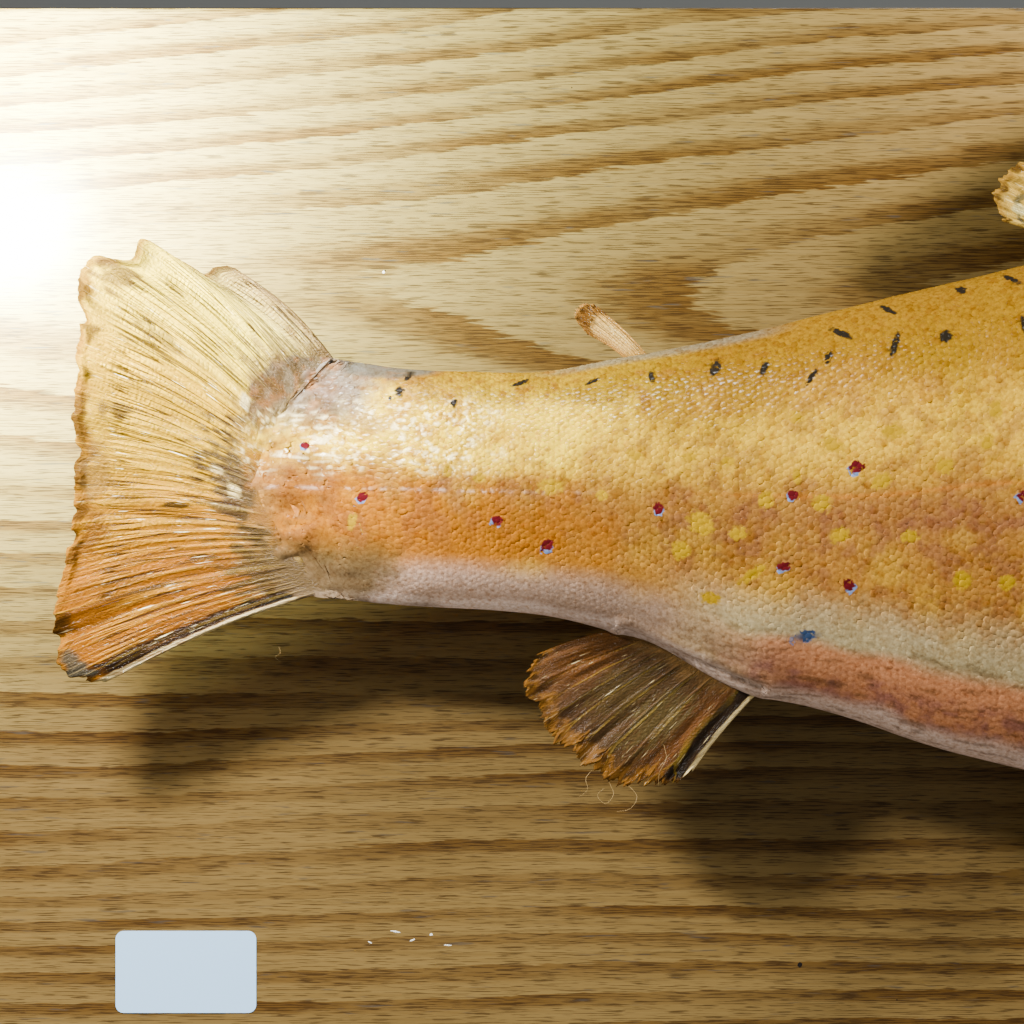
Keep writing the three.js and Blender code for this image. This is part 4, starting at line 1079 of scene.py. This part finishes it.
def makeFin(name, fin, material, side, seed):
    columns, rows = fin["grid"]
    u = np.linspace(0, 1, columns + 1)
    steps = 1 - (1 - np.linspace(0, 1, rows + 1)) ** finShape["crowd"]
    v = np.concatenate([steps, steps[-2::-1]])
    u, v = np.meshgrid(u, v, indexing="ij")
    face = np.where(np.arange(2 * rows + 1) <= rows, 1.0, -1.0)[None, :]

    def toWorld(points):
        points = np.array([(*point, 0)[:3] for point in points], float)
        return np.stack([snoutX - points[:, 0], middleY + side * points[:, 2], points[:, 1]], -1)

    paired = len(fin["root"][0]) == 3
    towards = fin["boardTip"] if side > 0 and "boardTip" in fin else fin["tip"]
    cup = 0 if paired and side > 0 else fin["cup"]
    rootLine = smoothLine(toWorld(fin["root"]), columns + 1)[:, None]
    tipLine = smoothLine(toWorld(towards), columns + 1)[:, None]
    # the margin is frayed between the rays, and split here and there
    edge = np.stack([u * 300, np.zeros_like(u)], -1)
    fray = fin["fray"] * (0.35 * grain(edge, 1.6, seed) + 0.45 * grain(edge, 5, seed + 1)
                          + 0.9 * ease(0.62, 0.9, grain(edge, 7, seed + 2)))
    reach = v * (1 - fray * ease(0.5, 1, v))
    ray = unit(tipLine - rootLine)
    sag = unit(np.stack([ray[..., 2], 0 * ray[..., 0], -ray[..., 0]], -1))
    point = rootLine + (tipLine - rootLine) * reach[..., None]
    point = point + sag * (fin["bow"] * np.sin(np.pi * reach))[..., None]
    point[..., 1] += side * cup * ((1 - (2 * u - 1) ** 2) * reach ** 2)
    normal = unit(np.cross(np.gradient(point, axis=0), ray))
    # rays stand up on both faces, and the sheet is pleated and curled at the margin
    strand = fin["strand"][0] + (fin["strand"][1] - fin["strand"][0]) * v
    order = np.stack([u * fin["rays"], np.zeros_like(u)], -1)
    uneven = u + (1.7 * (grain(order, 2.6, seed + 8) - 0.5) + 3 * (grain(order, 7, seed + 9) - 0.5)) / fin["rays"]
    strand = strand * ease(0.03, 0.24, v)
    ridge = fin["ridge"] * ease(strand * 1.3, strand * 0.5, toRay(uneven, v, fin)) * (1 - 0.55 * v)
    ridge = np.where(strand > 0.02, ridge, 0) * (0.25 + 1.2 * grain(order + [0, 3], 1.3, seed + 11))
    place = np.stack([u * 60, v * 14], -1)
    pleat = fin["pleat"] * ease(0.05, 0.7, v) * (grain(place * [1, 0.35], 2.2, seed + 3) - 0.5)
    pleat += 0.5 * fin["pleat"] * ease(0.1, 0.8, v) * (grain(place, 5, seed + 4) - 0.5)
    curl = fin["curl"] * ease(0.9, 1.0, v) * (grain(place * [1, 0.2], 1.5, seed + 5) - 0.35)
    half = (fin["thick"][0] + (fin["thick"][1] - fin["thick"][0]) * np.sqrt(v)) / 2 - finShape["inside"]
    half = half * (1 - fin.get("thinEnds", 0) * ease(0.24, 0.08, v) * np.abs(2 * u - 1) ** 1.5)
    # the dried margin is rolled into an uneven bead
    thick, at, wide = finShape["bead"]
    half = half + thick * bump(v - at, wide) * ease(0.35, 0.8, grain(edge, 11, seed + 6))
    closing = np.sqrt(np.clip((1 - v) / finShape["tipEnd"], 0, 1))
    closing = closing * np.sqrt(np.clip(np.minimum(u, 1 - u) / finShape["sideEnd"], 0, 1))
    closing *= np.clip(v / fin.get("emerges", 0.02), 0, 1) ** 0.7
    out = (half + ridge) * closing * face + (pleat + curl) * (v > 0)
    point = point + normal * out[..., None]
    span = np.linalg.norm(np.diff(tipLine[:, 0], axis=0), axis=1).sum()
    length = np.linalg.norm(tipLine - rootLine, axis=-1).mean()
    width = strand * (1 - 0.75 * ease(0.8, 0.88, v + 0.1 * (grain(place, 6, seed + 7) - 0.5)))
    values = {
        "unwrap": np.stack([u * 0.98 + 0.01, np.where(face > 0, 0.01 + v * 0.48, 0.99 - v * 0.48)], -1),
        "finColour": finColours(fin, u, v, seed + 10, point),
        "finPlace": np.stack([uneven * fin["rays"], v, np.full_like(u, fin["divide"])], -1),
        "fibre": np.stack([u * span, v * length, 40.0 * seed + 0 * u], -1),
        "fibres": fin.get("fibres", 0.7) * (1 - 0.75 * ease(0.76, 0.9, v)) * ease(0.08, 0.24, v),
        "strand": width, "varnish": fin.get("varnish", 0.4) * (1 - 0.85 * ease(0.92, 0.97, v)),
    }
    placePiece("dried_" + name, gridMesh(name, point, values), material, [name])


finLook = {"ray": "#e2b52c", "streak": "#4a3018", "line": "#24160a", "glint": "#e8d49a"}


# varnished dried fin: pale rays under a clear varnish with darker skin stretched between them
def driedFin():
    material, add = newMaterial("varnished dried fin")
    base = add("Attribute", out="Color", attribute_name="finColour")
    place, fibre = (add("Attribute", out="Vector", attribute_name=name) for name in ("finPlace", "fibre"))
    width, fibres, varnish = (add("Attribute", out="Fac", attribute_name=name)
                              for name in ("strand", "fibres", "varnish"))
    x, y, divide = add("SeparateXYZ", place).node.outputs

    def noise(source, stretch, detail, rough=0.5):
        return add("TexNoise", add("VectorMath.MULTIPLY", source, stretch), 1.0, detail, rough)

    # the rays wander a little and aren't evenly spaced
    bent = add("Math.MULTIPLY_ADD", noise(place, (0.5, 3, 0), 2.0), 0.3, x)
    distance = add("Math.ABSOLUTE", add("Math.SUBTRACT", add("Math.FRACT", bent), 0.5))
    for start, stop, shift in ((0.0, 0.3, -0.25), (0.5, 0.9, -0.125)):
        share = add("MapRange.SMOOTHSTEP", y, add("Math.ADD", divide, start), add("Math.ADD", divide, stop))
        distance = add("Math.ABSOLUTE", add("Math.MULTIPLY_ADD", share, shift, distance))
    ray = add("MapRange.SMOOTHSTEP", add("Math.DIVIDE", distance, width), 1.25, 0.6)
    dark = add("MapRange", noise(fibre, (0.6, 0.06, 1), 4.0, 0.65), 0.54, 0.68, 0.0, fibres)
    # thin dark lines part the strands, and some strands hardly show
    thin = add("Math.ABSOLUTE", add("Math.SUBTRACT", noise(fibre, (0.62, 0.022, 1), 1.0), 0.5))
    line = add("MapRange", thin, 0.034, 0.014, 0.0, fibres)
    shown = add("MapRange", noise(place, (0.8, 2.2, 0), 1.0), 0.38, 0.62, 0.1, 0.9)
    joint = add("MapRange", noise(place, (1, 62, 0), 0.0), 0.52, 0.6)
    # painted glints: pale dashes on the rays that stand in for highlights on the varnish
    glint = add("MapRange", noise(fibre, (1.5, 0.12, 1), 2.0), 0.67, 0.72, 0.0, fibres)
    rayShare = add("Math.MULTIPLY", ray, shown)
    colour = add("Mix", dark, add("Mix.MULTIPLY", 1.0, base, (0.86, 0.8, 0.6, 1)), linear(finLook["streak"]))
    colour = add("Mix", rayShare, colour, add("Mix", 0.1, base, linear(finLook["ray"])))
    colour = add("Mix", glint, add("Mix", line, colour, linear(finLook["line"])), linear(finLook["glint"]))
    relief = add("Math.MULTIPLY_ADD", add("Math.MULTIPLY", joint, ray), -0.45, rayShare)
    relief = add("Math.MULTIPLY_ADD", line, -0.8, relief)
    relief = add("Math.MULTIPLY_ADD", noise(fibre, (1.2, 1.2, 1), 3.0), 1.5, relief)
    raised = add("Bump", {"Height": relief, "Strength": 0.9, "Distance": 0.3 * mm})
    add("OutputMaterial", add("BsdfPrincipled", {
        "Base Color": colour, "Roughness": 0.5, "Normal": raised, "Coat Normal": raised,
        "Specular IOR Level": 0.0, "Coat Weight": varnish, "Coat Roughness": 0.04}))
    return material


finMaterial = driedFin()
finSeeds = range(300, 420, 20)  # one for each fin, far enough apart for all its grains
for seed, (name, fin) in zip(finSeeds, fins.items()):
    # a fin whose root says how far it is from the middle is one of a pair
    paired = len(fin["root"][0]) == 3
    for side, label in ((-1, "_right"), (1, "_left")) if paired else ((-1, ""),):
        makeFin(name + label, fin, finMaterial, side, seed)
print("fins made")


# the glass eyes

eyeLook = {"iris": ((0.3, "#1d1206"), (0.5, "#5c3a0e"), (0.72, "#9c6a1c")), "rim": "#1d1710", "ring": "#a87c24",
           "pupil": "#050505"}


# glass taxidermy eye: a painted golden iris and a black pupil seen through clear polished glass
def glassEye():
    material, add = newMaterial("painted glass eye")
    place = add("Attribute", out="Vector", attribute_name="eyePlace")
    x, y, _ = add("SeparateXYZ", place).node.outputs
    flat = add("CombineXYZ", x, y)
    aside = add("VectorMath.ADD", flat, (-0.06, 0, 0))
    pupil = add("VectorMath.LENGTH", add("VectorMath.MULTIPLY", aside, (0.88, 1, 1)))
    colour = add("ValToRGB", add("TexNoise", place, 9.0, 4.0),
                 stops=[(at, linear(code)) for at, code in eyeLook["iris"]])
    for reach, start, stop, name in ((add("VectorMath.LENGTH", flat), 0.72, 0.93, "rim"),
                                     (pupil, 0.53, 0.49, "ring"), (pupil, 0.47, 0.44, "pupil")):
        colour = add("Mix", add("MapRange", reach, start, stop), colour, linear(eyeLook[name]))
    add("OutputMaterial", add("BsdfPrincipled", {
        "Base Color": colour, "Roughness": 0.12, "Coat Weight": 1.0, "Coat Roughness": 0.02}))
    return material


def makeEye(material, side, label):
    at = np.array([eyePlace["at"]], float)
    middle, tall, _ = section(at)
    lean = np.arcsin((eyePlace["height"] - middle) / tall)
    angle = np.pi - lean if side < 0 else lean
    facing = normalOf(bodyPoint, at, angle)[0]
    centre = bodyPoint(at, angle)[0] + facing * (eyePlace["proud"] - eyePlace["depth"])
    ball = bmesh.new()
    bmesh.ops.create_uvsphere(ball, u_segments=eyePlace["columns"], v_segments=eyePlace["rows"], radius=1)
    forward = Vector((1, 0, 0)) - Vector(facing) * facing[0]
    forward.normalize()
    upward = Vector((0, 0, 1)) - Vector(facing) * facing[2] - forward * forward.z
    upward.normalize()
    local = np.array([vertex.co[:] for vertex in ball.verts])
    flat, deep = eyePlace["radius"] - eyePlace["inside"], eyePlace["depth"] - eyePlace["inside"]
    for vertex in ball.verts:
        vertex.co = (Vector(centre) + (forward * vertex.co.x + upward * vertex.co.y) * flat
                     + Vector(facing) * (vertex.co.z * deep)) * mm
    bmesh.ops.recalc_face_normals(ball, faces=ball.faces)
    mesh = toMesh(ball, "glass_eye_" + label)
    mesh.shade_smooth()
    keep(mesh, "eyePlace", local)
    placePiece(mesh.name, mesh, material, ["eye_" + label])


eyeMaterial = glassEye()
for side, label in ((-1, "right"), (1, "left")):
    makeEye(eyeMaterial, side, label)
print("eyes made")


# the board, the card and the parts behind

wood = {
    "ring": 8.4, "shift": -0.33,  # from one growth ring to the next, and where they start
    "pith": 66, "pithDepth": 24, "cone": 0.088,  # height of the tree's middle, how far it is behind the face, taper
    "face": -19.0, "tilt": (0.02, 0.11), "wander": 15, "ragged": 3.0,
    "pale": "#a5864c", "paleDark": "#947640", "band": "#735020", "pore": "#3a2410", "dust": "#58524a",
}


# lacquered plain-sawn oak: brown porous rings running lengthwise, fine dark pores, and a satin film over them
def lacqueredOak():
    material, add = newMaterial("lacquered plain-sawn oak")
    place = add("VectorMath.SCALE", add("TexCoord", out="Object"), 1 / mm)
    x, y, z = add("SeparateXYZ", place).node.outputs

    def streaks(along, deep, high, detail):
        return add("TexNoise", add("VectorMath.MULTIPLY", place, (1 / along, 1 / deep, 1 / high)), 1.0, detail)

    # how far each point is from the tree's tilted, tapering middle, and where that is on a growth ring
    tilt = add("MapRange", z, 40.0, -60.0, *wood["tilt"])
    low = add("Math.SUBTRACT", z, add("Math.MULTIPLY", add("Math.ADD", x, 200.0), tilt))
    flat = add("CombineXYZ", add("Math.SUBTRACT", low, wood["pith"]),
               add("Math.SUBTRACT", y, wood["face"] - wood["pithDepth"]))
    radius = add("Math.MULTIPLY_ADD", x, -wood["cone"], add("VectorMath.LENGTH", flat))
    radius = add("Math.MULTIPLY_ADD", streaks(240, 60, 42, 1.0), wood["wander"], radius)
    radius = add("Math.MULTIPLY_ADD", streaks(9, 2, 0.8, 3.0), wood["ragged"], radius)
    ring = add("Math.FRACT", add("Math.MULTIPLY_ADD", radius, 1 / wood["ring"], wood["shift"]))
    band = add("ValToRGB", ring, stops=[(0.0, 1.0), (0.24, 0.85), (0.46, 0.12), (0.93, 0.0), (0.97, 1.0)])
    banded = add("Math.MULTIPLY", band, add("MapRange", streaks(90, 40, 16, 2.0), 0.35, 0.6, 0.35, 1.0))
    colour = add("ValToRGB", streaks(55, 8, 0.9, 5.0),
                 stops=[(0.32, linear(wood["paleDark"])), (0.65, linear(wood["pale"]))])
    pore = add("MapRange", add("Math.MULTIPLY_ADD", banded, 0.075, streaks(9.0, 1, 0.27, 2.0)), 0.565, 0.62)
    dust = add("MapRange", streaks(11, 2, 0.9, 2.0), 0.66, 0.74, 0.0, 0.55)
    for share, name in ((banded, "band"), (add("Math.MULTIPLY", pore, 0.72), "pore"), (dust, "dust")):
        colour = add("Mix", share, colour, linear(wood[name]))
    add("OutputMaterial", add("BsdfPrincipled", {
        "Base Color": colour, "Roughness": 0.5, "Specular IOR Level": 0.1,
        "Coat Weight": 0.35, "Coat Roughness": 0.25,
        "Normal": add("Bump", {"Height": pore, "Strength": 0.5, "Distance": -0.12 * mm})}))
    return material


fittings = {"pine": "#d8bd88", "pineRing": "#b98c50", "zinc": "#a9aaa4", "card": "#e2f4fb", "dust": "#e8e4d6",
            "pinHole": "#0e0906", "hair": "#8d7448"}


# sawn pine: pale, with soft yellow-brown rings
def sawnPine():
    material, add = newMaterial("bare sawn pine")
    stretch = tuple(1 / (size * mm) for size in (60, 3, 4))
    rings = add("TexNoise", add("VectorMath.MULTIPLY", add("TexCoord", out="Object"), stretch), 1.0, 3.0)
    tone = add("ValToRGB", rings, stops=[(0.35, linear(fittings["pine"])), (0.62, linear(fittings["pineRing"]))])
    relief = add("Bump", {"Height": rings, "Strength": 0.4, "Distance": 0.2 * mm})
    add("OutputMaterial", add("BsdfPrincipled", {"Base Color": tone, "Roughness": 0.75, "Normal": relief}))
    return material


# zinc-plated steel: dull bluish grey with faint handling marks
def zincSteel():
    material, add = newMaterial("zinc-plated steel")
    stain = add("TexNoise", add("TexCoord", out="Object"), 1 / (3 * mm), 4.0)
    add("OutputMaterial", add("BsdfPrincipled", {
        "Base Color": linear(fittings["zinc"]), "Metallic": 1.0,
        "Roughness": add("MapRange", stain, 0.0, 1.0, 0.28, 0.55)}))
    return material


# matt white card: faintly cool, with the soft tooth of paper
def whiteCard():
    material, add = newMaterial("matt white card")
    tooth = add("TexNoise", add("TexCoord", out="Object"), 1 / (0.25 * mm), 2.0)
    add("OutputMaterial", add("BsdfPrincipled", {
        "Base Color": linear(fittings["card"]), "Roughness": 0.6,
        "Normal": add("Bump", {"Height": tooth, "Strength": 0.15, "Distance": 0.05 * mm})}))
    return material


# plaster dust, pin holes, brush hairs and matt walls: one plain colour each, which the eye takes as dry and flat
def plainPaint(name, hexCode, rough):
    material, add = newMaterial(name)
    add("OutputMaterial", add("BsdfPrincipled", {"Base Color": linear(hexCode), "Roughness": rough}))
    return material


# what has landed on the board: specks of dust, a pin's hole and a few shed hairs
landed = {
    "specks": [(-198.2, -107.5, 3.2, 0.5, 12), (-193.6, -109.8, 1.8, 0.5, -20), (-188.5, -108.3, 1.1, 0.7, 0),
               (-205.1, -110.4, 1.4, 0.4, 30), (-184.0, -111.2, 2.4, 0.4, 5), (-201.4, 71.2, 0.9, 0.9, 0)],
    "holes": [(-88.6, -116.5, 1.5), (-201.0, 71.6, 0.5), (-150.4, 121.2, 0.4), (-62.3, -126.0, 0.4)],
    "hairs": [[(-141.8, -62.4, -63), (-140.4, -62.8, -66.6), (-142.6, -63, -69), (-144.6, -62.6, -66.8),
               (-142.8, -62.2, -65)],
              [(-137.0, -62.6, -63.8), (-134.4, -63.4, -67.2), (-136.2, -64, -70.2), (-139.6, -63.2, -71)],
              [(-146.0, -62.6, -60.4), (-147.6, -63.6, -62.4), (-147.2, -64, -65.2), (-149.4, -63.2, -67.4)],
              [(-229.8, -20, -30.2), (-229.2, -20.6, -31.8), (-230.6, -21, -33), (-229.4, -20.4, -34.2)],
              [(-127.6, -65.6, -53.6), (-127.0, -66.2, -57), (-128.8, -66.4, -60.8), (-129.0, -66, -64.2)]],
    "thick": 0.08, "steps": 17, "sides": 5,  # of a hair
    "flat": 0.12, "at": -19.02,  # how thick a speck is, and where it lies on the board's face
}


def makeSpecks():
    for name, places, material in (
            ("dust_specks", landed["specks"], plainPaint("pale plaster dust", fittings["dust"], 0.9)),
            ("pin_holes", [(x, z, size, size, 0) for x, z, size in landed["holes"]],
             plainPaint("dark pin hole", fittings["pinHole"], 1.0))):
        specks = bmesh.new()
        for x, z, wide, tall, tilt in places:
            made = bmesh.ops.create_icosphere(specks, subdivisions=1, radius=0.5)["verts"]
            bmesh.ops.scale(specks, verts=made, vec=(wide, landed["flat"], tall))
            bmesh.ops.rotate(specks, verts=made, cent=(0, 0, 0), matrix=Matrix.Rotation(np.radians(tilt), 3, "Y"))
            bmesh.ops.translate(specks, verts=made, vec=(x, landed["at"], z))
        bmesh.ops.scale(specks, verts=specks.verts, vec=(mm, mm, mm))
        placePiece(name, toMesh(specks, name), material)


def makeHairs(material):
    hairs = bmesh.new()
    steps, sides = landed["steps"], landed["sides"]
    around = (np.arange(sides) * 2 * np.pi / sides)[:, None]
    for points in landed["hairs"]:
        line = smoothLine(points, steps)
        ahead = unit(np.gradient(line, axis=0))
        aside = unit(np.cross(ahead, [0, 1, 0.2]))
        other = np.cross(ahead, aside)
        half = landed["thick"] / 2 * np.linspace(1.1, 0.5, steps)[:, None, None]
        rings = line[:, None] + half * (aside[:, None] * np.cos(around) + other[:, None] * np.sin(around))
        rows = [[hairs.verts.new(Vector(point) * mm) for point in ring] for ring in rings]
        for one, two in zip(rows, rows[1:]):
            for k in range(sides):
                hairs.faces.new((one[k], one[k - 1], two[k - 1], two[k]))
        hairs.faces.new(rows[0])
        hairs.faces.new(rows[-1])
    bmesh.ops.recalc_face_normals(hairs, faces=hairs.faces)
    placePiece("stray_hairs", toMesh(hairs, "stray_hairs"), material)


makeSpecks()
makeHairs(plainPaint("shed brush hair", fittings["hair"], 0.5))
print("specks and hairs made")


def dress(material, *names):
    # gives the frame's own nodes their material
    for name in names:
        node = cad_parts[name]
        node.data.materials.clear()
        node.data.materials.append(material)


dress(lacqueredOak(), "board")
dress(whiteCard(), "number_card")
dress(sawnPine(), "mounting_block_front", "mounting_block_rear")
dress(zincSteel(), "hanger", "hanger_nail_left", "hanger_nail_right", "screw_1", "screw_2", "screw_3", "screw_4")
print("board and its parts dressed")


# the studio

studio = {
    "camera": (-0.1666, -0.919, 0.0062), "lens": 116.76, "clip": (0.01, 30),
    # place, what it points at, size, watts, tint, what it lights, and whether the varnish mirrors it
    "lamps": [((-0.351, -0.297, 0.154), (-0.356, -0.297, -0.146), 0.08, 3.4, "#ffffff", "all", True),
              ((-0.315, -0.099, 0.09), (-0.33, -0.019, 0.13), 0.04, 6.6, "#e6fff0", "board", True),
              ((0.13, -0.28, 0.17), (0.24, -0.05, 0.31), 0.08, 4.4, "#ffffff", "all", False),
              ((-0.30, -0.45, 0.50), (-0.13, -0.06, 0.02), 0.12, 1.5, "#ffffff", "fish", True),
              ((-0.15, -0.70, -0.35), (-0.1, -0.06, 0), 0.3, 1.9, "#ffffff", "fish", False),
              ((-0.37, -0.135, 0.135), (-0.285, -0.06, 0.065), 0.04, 5.4, "#ffffff", "fish", False),
              ((-0.27, -0.22, 0.27), (-0.25, -0.06, 0.05), (0.3, 0.03), 1.0, "#ffffff", "fish", True),
              ((0.18, -0.35, 0.35), (0.0, -0.06, 0.02), 0.1, 3.4, "#ffffff", "fish", True),
              ((-0.30, -0.45, -0.05), (-0.22, -0.02, -0.117), 0.1, 2.3, "#4fbcff", "card", False),
              ((0.62, -0.62, 0.34), (0.2, -0.06, 0), 0.3, 5.0, "#ffffff", "all", False),
              ((0.2, 1.4, 0.5), (0, 0, 0), 0.8, 14.0, "#ffffff", "all", True)],
    "fill": 0.16, "plaster": "#d9dad5", "sky": "#f2f3f5", "sheet": 6,
    "surfaces": {"wall": ((0, 3.0, 1.5), np.pi / 2), "floor": ((0, 0, -1.2), 0)},  # place, and turn about the x axis
}


def makeStudio():
    plaster = plainPaint("matt pale plaster", studio["plaster"], 0.9)
    for name, (place, turn) in studio["surfaces"].items():
        sheet = bmesh.new()
        bmesh.ops.create_grid(sheet, x_segments=1, y_segments=1, size=studio["sheet"])
        bmesh.ops.rotate(sheet, verts=sheet.verts, cent=(0, 0, 0), matrix=Matrix.Rotation(turn, 3, "X"))
        bmesh.ops.translate(sheet, verts=sheet.verts, vec=place)
        surface = addObject(name, toMesh(sheet, name))
        surface.data.materials.append(plaster)
    lit = {"board": [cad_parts["board"]], "card": [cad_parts["number_card"]], "fish": fishPieces}
    for k, (place, target, size, watts, tint, what, mirrored) in enumerate(studio["lamps"]):
        light = bpy.data.lights.new(f"lamp_{k}", "AREA")
        wide, tall = size if isinstance(size, tuple) else (size, size)
        light.shape = "RECTANGLE" if wide > tall else "DISK"
        light.size, light.size_y, light.energy = wide, tall, watts
        light.color = linear(tint)[:3]
        lamp = addObject(light.name, light)
        lamp.location = place
        lamp.rotation_euler = (Vector(target) - Vector(place)).to_track_quat("-Z", "Y").to_euler()
        lamp.visible_camera = False
        lamp.visible_glossy = mirrored
        if what in lit:
            group = bpy.data.collections.new(f"lit_by_lamp_{k}")
            for thing in lit[what]:
                group.objects.link(thing)
            lamp.light_linking.receiver_collection = group
            if what == "board":
                lamp.light_linking.blocker_collection = group
    world = bpy.data.worlds.new("soft daylight")
    bpy.context.scene.world = world
    world.use_nodes = True
    sky = world.node_tree.nodes["Background"].inputs
    sky["Color"].default_value = linear(studio["sky"])
    sky["Strength"].default_value = studio["fill"]
    lens = bpy.data.cameras.new("camera")
    lens.lens = studio["lens"]
    lens.clip_start, lens.clip_end = studio["clip"]
    camera = addObject("camera", lens)
    camera.location = studio["camera"]
    camera.rotation_euler = (np.pi / 2, 0, 0)
    bpy.context.scene.camera = camera


makeStudio()
print("studio made")
